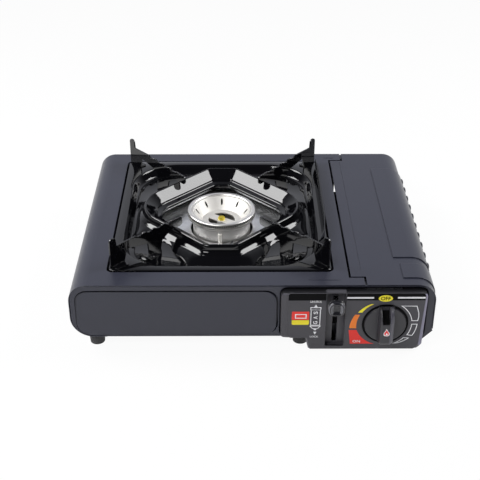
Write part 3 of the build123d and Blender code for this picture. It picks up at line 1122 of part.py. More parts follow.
def control_knob():
    """Round skirt with a raised grip bar, scooped on its upper half."""
    back = PANEL_FACE_Y + KNOB_RECESS_DEPTH - KNOB_FLOAT
    disc_face = back - KNOB_DISC
    tip = PANEL_FACE_Y - KNOB_REACH
    knob = rod_y(KNOB_RADIUS, disc_face, back, KNOB_X, KNOB_Z)
    knob = chamfer(knob.edges().group_by(Axis.Y)[0], KNOB_EDGE)
    half_w, half_l = KNOB_GRIP_WIDTH / 2, KNOB_GRIP_LENGTH / 2
    middle = Pos(KNOB_X, KNOB_Z)
    foot = middle * rect(-half_w - GRIP_SPREAD, half_w + GRIP_SPREAD, -half_l + 0.8, half_l - 3)
    crest = middle * rect(-half_w + 1, half_w - 1, -half_l + 1.5, half_l - 5)
    knob += loft([Plane.XZ.offset(-disc_face - 1) * foot, Plane.XZ.offset(-tip) * crest])
    knob -= rod_x(GRIP_SCOOP, KNOB_X - half_w + 2, KNOB_X + half_w - 2,
                  tip - GRIP_SCOOP + GRIP_SCOOP_DEPTH, KNOB_Z + half_l - 8)
    hub = rod_y(SPINDLE_RADIUS + HUB_RIM, back, back + HUB_LENGTH, KNOB_X, KNOB_Z)
    bore_end = PANEL_FACE_Y - SPINDLE_PROUD - 0.5
    knob += hub
    return knob - rod_y(SPINDLE_RADIUS + FIT / 2, bore_end, back + HUB_LENGTH, KNOB_X, KNOB_Z)


# ---------------------------------------------------------------- lock lever and fork
def lock_lever():
    """Flat lever on its pivot, with the pin that drives the fork and a tang for the thumb piece."""
    y, z = LEVER_PIVOT_Y, LEVER_PIVOT_Z
    head = z + DRIVE_ARM + DRIVE_PIN + 0.5
    tang_y, tang = y - THUMB_BACK - TANG, TANG_HEIGHT / 2
    half_post, (bend_y, bend_z) = DRIVE_PIN + 1, LEVER_BEND
    bar = polygon((y, z - LEVER_PIN * 2), (y + half_post + 1, z), (y + half_post, head),
                  (y - half_post, head), (y - bend_y, z + bend_z),
                  (tang_y + 2 * TANG, LEVER_TOP_Z + tang), (tang_y, LEVER_TOP_Z + tang),
                  (tang_y, LEVER_TOP_Z - tang), (tang_y + 2 * TANG, LEVER_TOP_Z - tang))
    bar += Pos(y, z) * Circle(LEVER_PIN + LEVER_RIM)
    x0, x1 = LEVER_X - LEVER_SHEET / 2, LEVER_X + LEVER_SHEET / 2
    lever = along_x(bar, x0, x1) + rod_x(DRIVE_PIN, x1, FORK_X + FORK_SHEET + 1, y, z + DRIVE_ARM)
    return lever - rod_x(LEVER_PIN + RUNNING, x0, x1, y, z)


def lever_knob():
    """Thumb piece, cupped in front; its back is round about the pivot so it clears the channel."""
    half, x = THUMB / 2, LEVER_X
    low, high = LEVER_TOP_Z - half, LEVER_TOP_Z + half
    knob = along_z(rect(x - half, x + half, LEVER_TIP_Y, LEVER_TIP_Y + 2 * THUMB_DEPTH, 1.5), low, high)
    knob -= rod_x(THUMB_BACK, x - THUMB, x + THUMB, LEVER_PIVOT_Y, LEVER_PIVOT_Z)
    knob -= rod_z(THUMB_CUP, low, high, x, LEVER_TIP_Y - THUMB_CUP + THUMB_CUP_DEPTH)
    tang_y, tang = LEVER_PIVOT_Y - THUMB_BACK - TANG, TANG_HEIGHT / 2 + FIT
    pocket = rect(tang_y - FIT, LEVER_PIVOT_Y, LEVER_TOP_Z - tang, LEVER_TOP_Z + tang)
    return knob - along_x(pocket, x - LEVER_SHEET / 2 - FIT, x + LEVER_SHEET / 2 + FIT)


def lever_pivot():
    """Shouldered stud on the partition that the lever turns on."""
    wall = PARTITION_X + SHEET / 2 + FIT
    x0, x1 = LEVER_X - LEVER_SHEET / 2, LEVER_X + LEVER_SHEET / 2
    stud = rod_x(LEVER_PIN + PIVOT_RIM, wall, x0 - FIT, LEVER_PIVOT_Y, LEVER_PIVOT_Z)
    stud += rod_x(LEVER_PIN, x0 - FIT, x1 + FIT, LEVER_PIVOT_Y, LEVER_PIVOT_Z)
    return stud + rod_x(LEVER_PIN + PIVOT_RIM, x1 + FIT, x1 + FIT + 1, LEVER_PIVOT_Y, LEVER_PIVOT_Z)


def fork_studs():
    """Two shouldered studs that the fork slides on."""
    wall, outer = PARTITION_X + SHEET / 2 + FIT, FORK_X + FORK_SHEET + FIT
    studs = []
    for y in STUDS_Y:
        stud = rod_x(STUD_RADIUS + STUD_RIM, wall, FORK_X - FIT, y, STUD_Z)
        stud += rod_x(STUD_RADIUS, FORK_X - FIT, outer, y, STUD_Z)
        studs.append(stud + rod_x(STUD_RADIUS + STUD_RIM, outer, outer + STUD_HEAD, y, STUD_Z))
    return Compound(studs)


def cartridge_fork():
    """Sliding plate with a yoke that draws the cartridge's collar onto the socket."""
    low, drive_z = STUD_Z - FORK_PLATE_DROP, LEVER_PIVOT_Z + DRIVE_ARM
    plate = rect(LEVER_PIVOT_Y - FORK_LEAD, STUDS_Y[1] + FORK_RIM, low, drive_z + DRIVE_PIN + 1)
    for y in STUDS_Y:
        slot = SlotCenterToCenter(FORK_TRAVEL, 2 * (STUD_RADIUS + RUNNING))
        plate -= Pos(y + FORK_TRAVEL / 2, STUD_Z) * slot
    half_slot = DRIVE_PIN + FORK_PLAY
    plate -= rect(LEVER_PIVOT_Y - half_slot, LEVER_PIVOT_Y + half_slot, drive_z - 2 * DRIVE_PIN, TOP_Z)
    fork = along_x(plate, FORK_X, FORK_X + FORK_SHEET)
    left, right = CARTRIDGE_X - FORK_NOTCH, CARTRIDGE_X + FORK_NOTCH
    foot_z = CARTRIDGE_Z - FORK_NOTCH - FORK_RIM
    yoke = rect(left - FORK_RIM, right + FORK_RIM, foot_z, CARTRIDGE_Z + FORK_NOTCH)
    yoke += rect(FORK_X, left, low, low + FORK_ARM)
    yoke -= Pos(CARTRIDGE_X, CARTRIDGE_Z) * Circle(FORK_NOTCH)
    yoke -= rect(left, right, CARTRIDGE_Z, TOP_Z)
    return fork + along_y(yoke, FORK_Y, FORK_Y + FORK_SHEET)


# ---------------------------------------------------------------- all nodes
def build_nodes():
    """Every node of the stove by name."""
    front_ear, back_ear = ear_places()
    nodes = {
        "casing_shell": casing_shell(),
        "front_panel": front_panel(),
        "rear_panel": rear_panel(),
        "base_plate": base_plate(),
        "bay_floor": bay_floor(),
        "partition_plate": partition_plate(),
        "burner_tray": burner_tray(),
        "foot_screws": foot_screws(),
        "control_panel": control_panel(),
        "panel_screws": panel_screws(),
        "regulator_body": regulator_body(),
        "regulator_cap": regulator_cap(),
        "regulator_screws": regulator_screws(),
        "regulator_bracket": regulator_bracket(),
        "gas_nozzle": gas_nozzle(),
        "piezo_igniter": piezo_igniter(),
        "piezo_plunger": piezo_plunger(),
        "burner_body": burner_body(),
        "burner_head": burner_head(),
        "burner_bowl": burner_bowl(),
        "burner_screw": burner_screw(),
        "burner_bracket": burner_bracket(),
        "electrode_insulator": electrode_insulator(),
        "ignition_electrode": ignition_electrode(),
        "electrode_bracket": electrode_bracket(),
        "cartridge_cradle": cartridge_cradle(),
        "cartridge_lid": cartridge_lid(),
        "hinge_bracket_front": hinge_bracket(front_ear, -1),
        "hinge_bracket_rear": hinge_bracket(back_ear, 1),
        "lid_hinge_pins": lid_hinge_pins(),
        "drip_pan": drip_pan(),
        "support_rivets": support_rivets(),
        "heat_guard": heat_guard(),
        "valve_spindle": valve_spindle(),
        "ignition_cam": ignition_cam(),
        "control_knob": control_knob(),
        "lock_lever": lock_lever(),
        "lever_knob": lever_knob(),
        "lever_pivot": lever_pivot(),
        "fork_studs": fork_studs(),
        "cartridge_fork": cartridge_fork(),
    }
    for place, (x, y) in foot_points().items():
        nodes[f"foot_{place}"] = foot(x, y)
    for place, (x, y) in support_corners().items():
        nodes[f"pan_support_{place}"] = pan_support(x, y)
    return nodes


def main():
    """Write one STEP file for each node."""
    os.makedirs("parts", exist_ok=True)
    for name, shape in build_nodes().items():
        save_node(name, shape)


main()
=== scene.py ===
"""Looks of a butane cassette stove: finishes on its solids, the pieces that show its pressed, drawn,
turned, moulded and printed forms, and the studio that it stands in.

Lengths in the classes are millimetres from the middle of the casing at table height, +X to the
right, +Y to the back, +Z up.  at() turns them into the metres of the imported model.
"""

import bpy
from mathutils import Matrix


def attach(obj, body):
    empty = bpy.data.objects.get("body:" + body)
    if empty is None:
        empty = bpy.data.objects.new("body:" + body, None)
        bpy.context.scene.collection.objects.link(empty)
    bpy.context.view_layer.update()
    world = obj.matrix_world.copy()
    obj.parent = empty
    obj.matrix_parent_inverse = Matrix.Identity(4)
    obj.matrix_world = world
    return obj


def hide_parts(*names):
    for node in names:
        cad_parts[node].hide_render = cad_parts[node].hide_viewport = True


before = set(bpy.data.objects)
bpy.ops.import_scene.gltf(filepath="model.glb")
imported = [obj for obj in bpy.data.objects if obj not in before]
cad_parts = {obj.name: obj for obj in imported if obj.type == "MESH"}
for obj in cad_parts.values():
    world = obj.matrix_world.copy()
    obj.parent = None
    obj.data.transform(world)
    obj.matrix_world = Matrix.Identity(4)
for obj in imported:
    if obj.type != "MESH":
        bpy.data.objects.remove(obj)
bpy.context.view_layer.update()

import logging
import math
from dataclasses import dataclass, field
from enum import Enum
from typing import Iterable, Optional, Sequence, Union

import bmesh
import bpy
from mathutils import Matrix, Vector

LOG = logging.getLogger("stove")
MM = 0.001
CASING_OFFSET = Vector((-1.25, 10.75, 0.0))     # middle of the casing to the middle of the stove
CASING_TOP = 72.0
BURNER_AXIS = (-30.3, 2.4)                      # seen from above
KNOB_AXIS = (125.1, 33.7)                       # seen from the front
PANEL_FACE_Y = -145.5
Point2 = tuple[float, float]
Point3 = tuple[float, float, float]
Box4 = tuple[float, float, float, float]        # left, right, low and high
Socket = bpy.types.NodeSocket
Value = Union[float, tuple, Socket]
Inputs = dict[Union[str, int], Value]           # values and links by the input's name or number


def at(x: float, y: float, z: float) -> Vector:
    """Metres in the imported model's frame from millimetres about the casing.

    Args:
        x: Across, from the middle of the casing.
        y: To the back, from the middle of the casing.
        z: Above the table.

    Returns:
        The point in metres.
    """
    return (Vector((x, y, z)) + CASING_OFFSET) * MM


def linear(code: str) -> tuple[float, float, float, float]:
    """Turn an sRGB hex colour into the linear values that shaders use.

    Args:
        code: Six hex digits after a hash.

    Returns:
        Linear red, green, blue and an alpha of 1.
    """
    parts = [int(code[i:i + 2], 16) / 255 for i in (1, 3, 5)]
    parts = [p / 12.92 if p <= 0.04045 else ((p + 0.055) / 1.055) ** 2.4 for p in parts]
    return (parts[0], parts[1], parts[2], 1.0)


def per_metre(size_mm: float) -> float:
    """Texture scale at which one feature of a pattern measures size_mm."""
    return 1 / (size_mm * MM)


def feed(tree: bpy.types.NodeTree, node: bpy.types.Node, inputs: Inputs) -> None:
    """Put a link or a value on each named input of a node.

    Args:
        tree: The node tree.
        node: The node.
        inputs: Sockets to link, or values to set, by the input's name or number.
    """
    for name, value in inputs.items():
        if isinstance(value, Socket):
            tree.links.new(value, node.inputs[name])
        else:
            node.inputs[name].default_value = value


def add_node(tree: bpy.types.NodeTree, kind: str, inputs: Optional[Inputs] = None,
             **settings: object) -> bpy.types.Node:
    """Add one node with its settings, and with a value or a link on each named input.

    Args:
        tree: The node tree.
        kind: Blender's name for the node, without its ShaderNode prefix.
        inputs: Sockets to link, or values to set, by the input's name or number.
        settings: Properties of the node itself.

    Returns:
        The new node.
    """
    node = tree.nodes.new("ShaderNode" + kind)
    for name, value in settings.items():
        setattr(node, name, value)
    feed(tree, node, inputs or {})
    return node


# ---------------------------------------------------------------- finishes
@dataclass(frozen=True)
class Finish:
    """What every finish has in common: two colours, a gloss and softly broken edges.

    Attributes:
        name: The finish's common name.
        colour: Main colour, as sRGB hex.
        roughness: Gloss of the surface, from 0 to 1.
        other: Colour that the main one wanders to.
        edge: Radius in millimetres of the rounding that an edge shows.
        ior: Index of refraction.
        metallic: 1 for bare metal.
    """

    name: str
    colour: str
    roughness: float
    other: str
    edge: float = 0.5
    ior: float = 1.5
    metallic: float = 0.0

    def material(self) -> bpy.types.Material:
        """Build the material, once for each finish.

        Returns:
            The Blender material of this finish.
        """
        found = bpy.data.materials.get(self.name)
        if found:
            return found
        material = bpy.data.materials.new(self.name)
        material.use_nodes = True
        tree = material.node_tree
        tree.nodes.clear()
        place = add_node(tree, "TexCoord").outputs["Object"]
        shader = add_node(tree, "BsdfPrincipled", {
            "Base Color": linear(self.colour), "Roughness": self.roughness, "IOR": self.ior,
            "Metallic": self.metallic})
        feed(tree, shader, self.dress(tree, place))
        add_node(tree, "OutputMaterial", {"Surface": shader.outputs["BSDF"]})
        return material

    def dress(self, tree: bpy.types.NodeTree, place: Socket) -> Inputs:
        """This finish's own pattern.

        Args:
            tree: The material's nodes.
            place: Texture coordinates.

        Returns:
            Values and links for the shader's inputs.
        """
        raise NotImplementedError

    def noise(self, tree: bpy.types.NodeTree, place: Socket, size_mm: float, detail: float = 2.0) -> Socket:
        """Cloudy pattern from 0 to 1, with features of size_mm and as many finer layers as detail says."""
        return add_node(tree, "TexNoise", {
            "Vector": place, "Scale": per_metre(size_mm), "Detail": detail}).outputs["Fac"]

    def tint(self, tree: bpy.types.NodeTree, factor: Socket) -> Socket:
        """Colour that wanders between the two colours with a pattern."""
        return add_node(tree, "Mix", {"Factor": factor, 6: linear(self.colour), 7: linear(self.other)},
                        data_type="RGBA").outputs[2]

    def gloss(self, tree: bpy.types.NodeTree, factor: Socket, below: float, above: float,
              span: Point2 = (0.35, 0.65)) -> Socket:
        """Roughness that wanders about its value with a pattern.

        Args:
            tree: The material's nodes.
            factor: The pattern.
            below: How far it falls below the value.
            above: How far it rises above it.
            span: Values of the pattern at both ends.

        Returns:
            The roughness.
        """
        return add_node(tree, "MapRange", {
            "Value": factor, "From Min": span[0], "From Max": span[1], "To Min": self.roughness - below,
            "To Max": self.roughness + above}).outputs["Result"]

    def relief(self, tree: bpy.types.NodeTree, height: Socket, depth_mm: float, strength: float) -> Socket:
        """Surface normal with broken edges and a relief on them.

        Args:
            tree: The material's nodes.
            height: Height pattern from 0 to 1.
            depth_mm: Its depth.
            strength: Share of the relief that shows.

        Returns:
            The normal for a shader.
        """
        edges = add_node(tree, "Bevel", {"Radius": self.edge * MM}, samples=6)
        return add_node(tree, "Bump", {
            "Height": height, "Distance": depth_mm * MM, "Strength": strength,
            "Normal": edges.outputs["Normal"]}).outputs["Normal"]


@dataclass(frozen=True)
class PowderCoat(Finish):
    """Satin polyester powder coat on pressed steel: dark slate with a cool cast, a soft gloss that
    lifts it to grey at a flat angle, and the fine orange peel of the baked powder."""

    shade: float = 55.0             # millimetres between slow changes of shade
    peel: float = 1.1               # and between the peel's waves

    def dress(self, tree: bpy.types.NodeTree, place: Socket) -> Inputs:
        """Slow shade over the sheet, an even gloss and orange peel.

        Args:
            tree: The material's nodes.
            place: Texture coordinates.

        Returns:
            Values and links for the shader's inputs.
        """
        peel = self.noise(tree, place, self.peel, 3.0)
        return {"Base Color": self.tint(tree, self.noise(tree, place, self.shade)),
                "Roughness": self.gloss(tree, peel, 0.03, 0.04), "Normal": self.relief(tree, peel, 0.02, 0.5)}


@dataclass(frozen=True)
class VitreousEnamel(Finish):
    """Black vitreous enamel, fired on: glass over steel, so it is nearly black itself and shows
    the room, slightly bent where the glass has flowed."""

    ior: float = 1.58
    flow: float = 16.0              # millimetres between the slow waves of the fired glass
    dust: float = 1.6               # and between specks of dust on it

    def dress(self, tree: bpy.types.NodeTree, place: Socket) -> Inputs:
        """Slow waves in the glass, with a trace of dust in its gloss.

        Args:
            tree: The material's nodes.
            place: Texture coordinates.

        Returns:
            Values and links for the shader's inputs.
        """
        waves = self.noise(tree, place, self.flow, 1.0)
        dust = self.noise(tree, place, self.dust, 4.0)
        return {"Base Color": self.tint(tree, waves), "Roughness": self.gloss(tree, dust, 0.0, 0.03),
                "Normal": self.relief(tree, waves, 0.1, 0.4)}


@dataclass(frozen=True)
class MouldedPlastic(Finish):
    """ABS from a spark-eroded mould: dark blue-grey with a dull, fine grain that scatters light."""

    ior: float = 1.53
    grain: float = 0.5              # millimetres; the real grain is finer than shows, so it is drawn coarser
    cloud: float = 30.0             # millimetres between slow changes of tone
    bloom: float = 0.0              # worn sheen that pales the rims

    def dress(self, tree: bpy.types.NodeTree, place: Socket) -> Inputs:
        """Fine grain in gloss and relief.

        Args:
            tree: The material's nodes.
            place: Texture coordinates.

        Returns:
            Values and links for the shader's inputs.
        """
        grain = self.noise(tree, place, self.grain)
        return {"Base Color": self.tint(tree, self.noise(tree, place, self.cloud)),
                "Roughness": self.gloss(tree, grain, 0.05, 0.05),
                "Normal": self.relief(tree, grain, 0.03, 0.35),
                "Sheen Weight": self.bloom, "Sheen Roughness": 0.25}


@dataclass(frozen=True)
class NitrileRubber(Finish):
    """Moulded rubber: dull charcoal with a slight bloom."""

    ior: float = 1.52
    bloom: float = 6.0              # millimetres between the bloom's patches
    grain: float = 0.7

    def dress(self, tree: bpy.types.NodeTree, place: Socket) -> Inputs:
        """Patchy bloom over a fine grain.

        Args:
            tree: The material's nodes.
            place: Texture coordinates.

        Returns:
            Values and links for the shader's inputs.
        """
        return {"Base Color": self.tint(tree, self.noise(tree, place, self.bloom, 4.0)),
                "Normal": self.relief(tree, self.noise(tree, place, self.grain), 0.05, 0.4)}


@dataclass(frozen=True)
class SheetMetal(Finish):
    """Galvanised or zinc-plated sheet: a bright metal broken into crystals (spangle) that differ
    a little in tone and gloss."""

    metallic: float = 1.0
    spangle: float = 3.0            # millimetres across one crystal
    grain: float = 0.9

    def dress(self, tree: bpy.types.NodeTree, place: Socket) -> Inputs:
        """Crystals in tone and gloss, over a faint rolling grain.

        Args:
            tree: The material's nodes.
            place: Texture coordinates.

        Returns:
            Values and links for the shader's inputs.
        """
        cells = add_node(tree, "TexVoronoi", {"Vector": place, "Scale": per_metre(self.spangle)})
        tone = add_node(tree, "SeparateColor", {"Color": cells.outputs["Color"]}).outputs["Red"]
        grain = self.noise(tree, place, self.grain, 3.0)
        return {"Base Color": self.tint(tree, tone),
                "Roughness": self.gloss(tree, tone, 0.06, 0.08, (0.0, 1.0)),
                "Normal": self.relief(tree, grain, 0.02, 0.3)}


@dataclass(frozen=True)
class CastMetal(Finish):
    """Die-cast or bead-blasted metal: an even, slightly pitted skin with a broad, soft shine."""

    metallic: float = 1.0
    pits: float = 0.8               # millimetres between the pits of the blasted skin
    cloud: float = 12.0             # and between slow changes of tone

    def dress(self, tree: bpy.types.NodeTree, place: Socket) -> Inputs:
        """Blasted pits and slow changes of tone.

        Args:
            tree: The material's nodes.
            place: Texture coordinates.

        Returns:
            Values and links for the shader's inputs.
        """
        pits = self.noise(tree, place, self.pits, 4.0)
        return {"Base Color": self.tint(tree, self.noise(tree, place, self.cloud)),
                "Roughness": self.gloss(tree, pits, 0.05, 0.08), "Normal": self.relief(tree, pits, 0.04, 0.5)}


@dataclass(frozen=True)
class TurnedMetal(Finish):
    """Metal finished on a lathe: bright, with fine rings about the axis that it was turned on."""

    metallic: float = 1.0
    centre: Point2 = BURNER_AXIS    # axis of the rings, seen from above
    pitch: float = 0.7              # millimetres between rings; coarser than real tool marks, to show
    cloud: float = 9.0              # millimetres between slow changes of tone

    def dress(self, tree: bpy.types.NodeTree, place: Socket) -> Inputs:
        """Rings about the axis in gloss and relief.

        Args:
            tree: The material's nodes.
            place: Texture coordinates.

        Returns:
            Values and links for the shader's inputs.
        """
        middle = tuple(at(*self.centre, 0))
        moved = add_node(tree, "VectorMath", {0: place, 1: middle}, operation="SUBTRACT")
        flat = add_node(tree, "VectorMath", {0: moved.outputs[0], 1: (1, 1, 0)}, operation="MULTIPLY")
        radius = add_node(tree, "VectorMath", {0: flat.outputs[0]}, operation="LENGTH").outputs["Value"]
        line = add_node(tree, "CombineXYZ", {"X": radius})
        rings = self.noise(tree, line.outputs[0], self.pitch, 1.0)
        return {"Base Color": self.tint(tree, self.noise(tree, place, self.cloud)),
                "Roughness": self.gloss(tree, rings, 0.04, 0.08),
                "Normal": self.relief(tree, rings, 0.02, 0.4)}


@dataclass(frozen=True)
class GlazedPorcelain(Finish):
    """Glazed white porcelain: warm white under a clear glaze."""

    wave: float = 3.0               # millimetres between the glaze's soft waves

    def dress(self, tree: bpy.types.NodeTree, place: Socket) -> Inputs:
        """A trace of tone under the glaze, which lies in soft waves.

        Args:
            tree: The material's nodes.
            place: Texture coordinates.

        Returns:
            Values and links for the shader's inputs.
        """
        wave = self.noise(tree, place, self.wave)
        return {"Base Color": self.tint(tree, wave), "Normal": self.relief(tree, wave, 0.05, 0.3),
                "Coat Weight": 0.8}


@dataclass(frozen=True)
class PadPrint(Finish):
    """Pad-printed ink: a thin, flat film whose cover varies a little with the grain under it."""

    shine: float = 0.5              # share of a usual gloss
    grain: float = 1.4              # millimetres between changes of its cover

    def dress(self, tree: bpy.types.NodeTree, place: Socket) -> Inputs:
        """Slight change of cover over the plastic's grain.

        Args:
            tree: The material's nodes.
            place: Texture coordinates.

        Returns:
            Values and links for the shader's inputs.
        """
        cover = self.noise(tree, place, self.grain, 3.0)
        return {"Base Color": self.tint(tree, cover), "Normal": self.relief(tree, cover, 0.01, 0.3),
                "Specular IOR Level": self.shine}


class Surface(Enum):
    """The stove's finishes."""

    BODY = PowderCoat("satin_powder_coat", "#2d2e3a", 0.33, "#30323f", edge=0.7)
    PAN = VitreousEnamel("black_vitreous_enamel", "#07070a", 0.05, "#0b0b0e", edge=0.4)
    THUMB = MouldedPlastic("polished_abs", "#1c1c21", 0.25, "#202026", edge=0.4, bloom=0.9)
    PANEL = MouldedPlastic("spark_eroded_abs", "#403f45", 0.48, "#3d3c42", edge=0.5, bloom=0.1)
    KNOB = MouldedPlastic("knob_abs", "#2b2a30", 0.38, "#2f2e34", edge=0.5, bloom=0.1)
    # black polyamide of the igniter; also the painted shade on the control panel's top faces
    IGNITER_AND_SHADE = MouldedPlastic("black_polyamide_and_painted_shade", "#1d1d20", 0.45, "#26262a")
    FOOT = NitrileRubber("nitrile_rubber", "#2a2a2d", 0.7, "#3a3a3c", edge=0.6)
    # painted highlight: a paler copy of the panel's plastic for the lit left bevel and the knob's lit side
    LIT_ABS = MouldedPlastic("painted_highlight_abs", "#4c4b55", 0.42, "#504f5a", edge=0.4, bloom=0.2)
    # painted highlight: a paler plastic for the thumb piece's left and right rims
    RIM_HIGHLIGHT = MouldedPlastic("painted_rim_highlight_abs", "#66666c", 0.35, "#6c6c72", edge=0.4, bloom=0.3)
    # painted highlight: a bright lavender copy of the plastic for the lit right bevel
    BRIGHT_LIT_ABS = MouldedPlastic("painted_bright_highlight_abs", "#85829a", 0.35, "#8b88a0", edge=0.4, bloom=0.3)
    TRAY = SheetMetal("galvanised_sheet", "#fafbfc", 0.38, "#f6f7f9", edge=0.4)
    ZINC = SheetMetal("zinc_plated_steel", "#b4b6ba", 0.3, "#96999e", edge=0.3)
    POT = CastMetal("bead_blasted_aluminium", "#dcdad7", 0.55, "#cbc9c6", edge=0.5)
    BOWL = CastMetal("satin_aluminium", "#efede9", 0.6, "#e4e2de", edge=0.5)
    REGULATOR = CastMetal("die_cast_zinc", "#8f9195", 0.42, "#7c7e83", edge=0.5)
    RING = TurnedMetal("turned_aluminium", "#f2f0ec", 0.36, "#e8e6e2", edge=0.4)
    BRASS = TurnedMetal("turned_brass", "#e8d24a", 0.4, "#d8c03c", edge=0.2)
    # painted shade: dark for the inside of the flame ports and the bowl's drillings
    PORT_SHADE = CastMetal("painted_port_shade", "#1b1917", 0.7, "#26231f", edge=0.1)
    POST = GlazedPorcelain("glazed_porcelain", "#f1eee6", 0.2, "#e4e0d6", edge=0.3)
    INK_WHITE = PadPrint("white_ink", "#f4f4f6", 0.5, "#ececf0", edge=0.02)
    # black ink for print; also painted shade in the knob's scoop and in the gap round the knob
    INK_BLACK_AND_SHADE = PadPrint("black_ink_and_painted_shade", "#050507", 0.5, "#08080a", edge=0.02, shine=0.08)
    INK_YELLOW = PadPrint("yellow_ink", "#f8ea2c", 0.5, "#f2e224", edge=0.02)
    INK_ORANGE = PadPrint("orange_ink", "#f9872a", 0.5, "#f57f22", edge=0.02)
    INK_RED = PadPrint("red_ink", "#f2382e", 0.5, "#ec3029", edge=0.02)

    def material(self) -> bpy.types.Material:
        """Material of this finish."""
        return self.value.material()


class Body(Enum):
    """Moving bodies of the stove that pieces are added to."""

    CASING = "casing"
    LID = "cartridge_lid"
    PAN = "drip_pan"
    LEVER = "lock_lever"
    VALVE = "valve"


NODE_SURFACES: dict[Surface, tuple[str, ...]] = {
    Surface.BODY: ("casing_shell", "front_panel", "rear_panel", "cartridge_lid", "base_plate", "bay_floor",
                   "partition_plate", "hinge_bracket_front", "hinge_bracket_rear"),
    Surface.PAN: ("drip_pan", "heat_guard", "support_rivets", "pan_support_front_left",
                  "pan_support_front_right", "pan_support_rear_left", "pan_support_rear_right"),
    Surface.PANEL: ("control_panel",),
    Surface.KNOB: ("control_knob", "lever_knob"),
    Surface.FOOT: ("foot_front_left", "foot_front_right", "foot_rear_left", "foot_rear_right"),
    Surface.TRAY: ("burner_tray",),
    Surface.POT: ("burner_body",),
    Surface.BOWL: ("burner_bowl",),
    Surface.RING: ("burner_head",),
    Surface.BRASS: ("gas_nozzle", "burner_screw"),
    Surface.REGULATOR: ("regulator_body", "regulator_cap"),
    Surface.POST: ("electrode_insulator",),
    Surface.IGNITER_AND_SHADE: ("piezo_igniter", "piezo_plunger", "ignition_cam"),
}


# ---------------------------------------------------------------- mesh tools
class Maker:
    """Turns outlines and meshes into pieces that ride on a body of the stove."""

    @staticmethod
    def piece(name: str, form: Union[bmesh.types.BMesh, bpy.types.Mesh], surface: Surface, body: Body,
              slot: str, smooth: bool = False) -> bpy.types.Object:
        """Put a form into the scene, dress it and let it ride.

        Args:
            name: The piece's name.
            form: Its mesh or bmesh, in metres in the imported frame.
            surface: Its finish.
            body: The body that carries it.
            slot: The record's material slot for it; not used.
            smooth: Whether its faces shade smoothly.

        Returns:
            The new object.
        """
        mesh = Maker.mesh(name, form) if isinstance(form, bmesh.types.BMesh) else form
        thing = bpy.data.objects.new(name, mesh)
        bpy.context.scene.collection.objects.link(thing)
        mesh.materials.append(surface.material())
        for face in mesh.polygons:
            face.use_smooth = smooth
        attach(thing, body.value)
        LOG.info("%s: %d faces, %s", name, len(mesh.polygons), surface.value.name)
        return thing

    @staticmethod
    def mesh(name: str, build: bmesh.types.BMesh) -> bpy.types.Mesh:
        """Finish a bmesh with outward normals.

        Args:
            name: Name of the new mesh.
            build: The bmesh, which is freed.

        Returns:
            The mesh.
        """
        bmesh.ops.recalc_face_normals(build, faces=build.faces[:])
        mesh = bpy.data.meshes.new(name)
        build.to_mesh(mesh)
        build.free()
        return mesh

    @staticmethod
    def loft(rows: Iterable[Iterable[Vector]], ring: bool = False, caps: bool = False,
             build: Optional[bmesh.types.BMesh] = None) -> bmesh.types.BMesh:
        """Skin over closed outlines that have as many points each.

        Args:
            rows: The outlines in order, in metres.
            ring: Whether the last outline joins the first.
            caps: Whether a face closes the first and the last outline.
            build: The bmesh to add to, or none for a new one.

        Returns:
            The bmesh.
        """
        build = bmesh.new() if build is None else build
        made = [[build.verts.new(point) for point in row] for row in rows]
        for first, second in zip(made, made[1:] + (made[:1] if ring else [])):
            for i in range(len(first)):
                j = (i + 1) % len(first)
                build.faces.new((first[i], first[j], second[j], second[i]))
        if caps:
            build.faces.new(made[0])
            build.faces.new(made[-1])
        return build


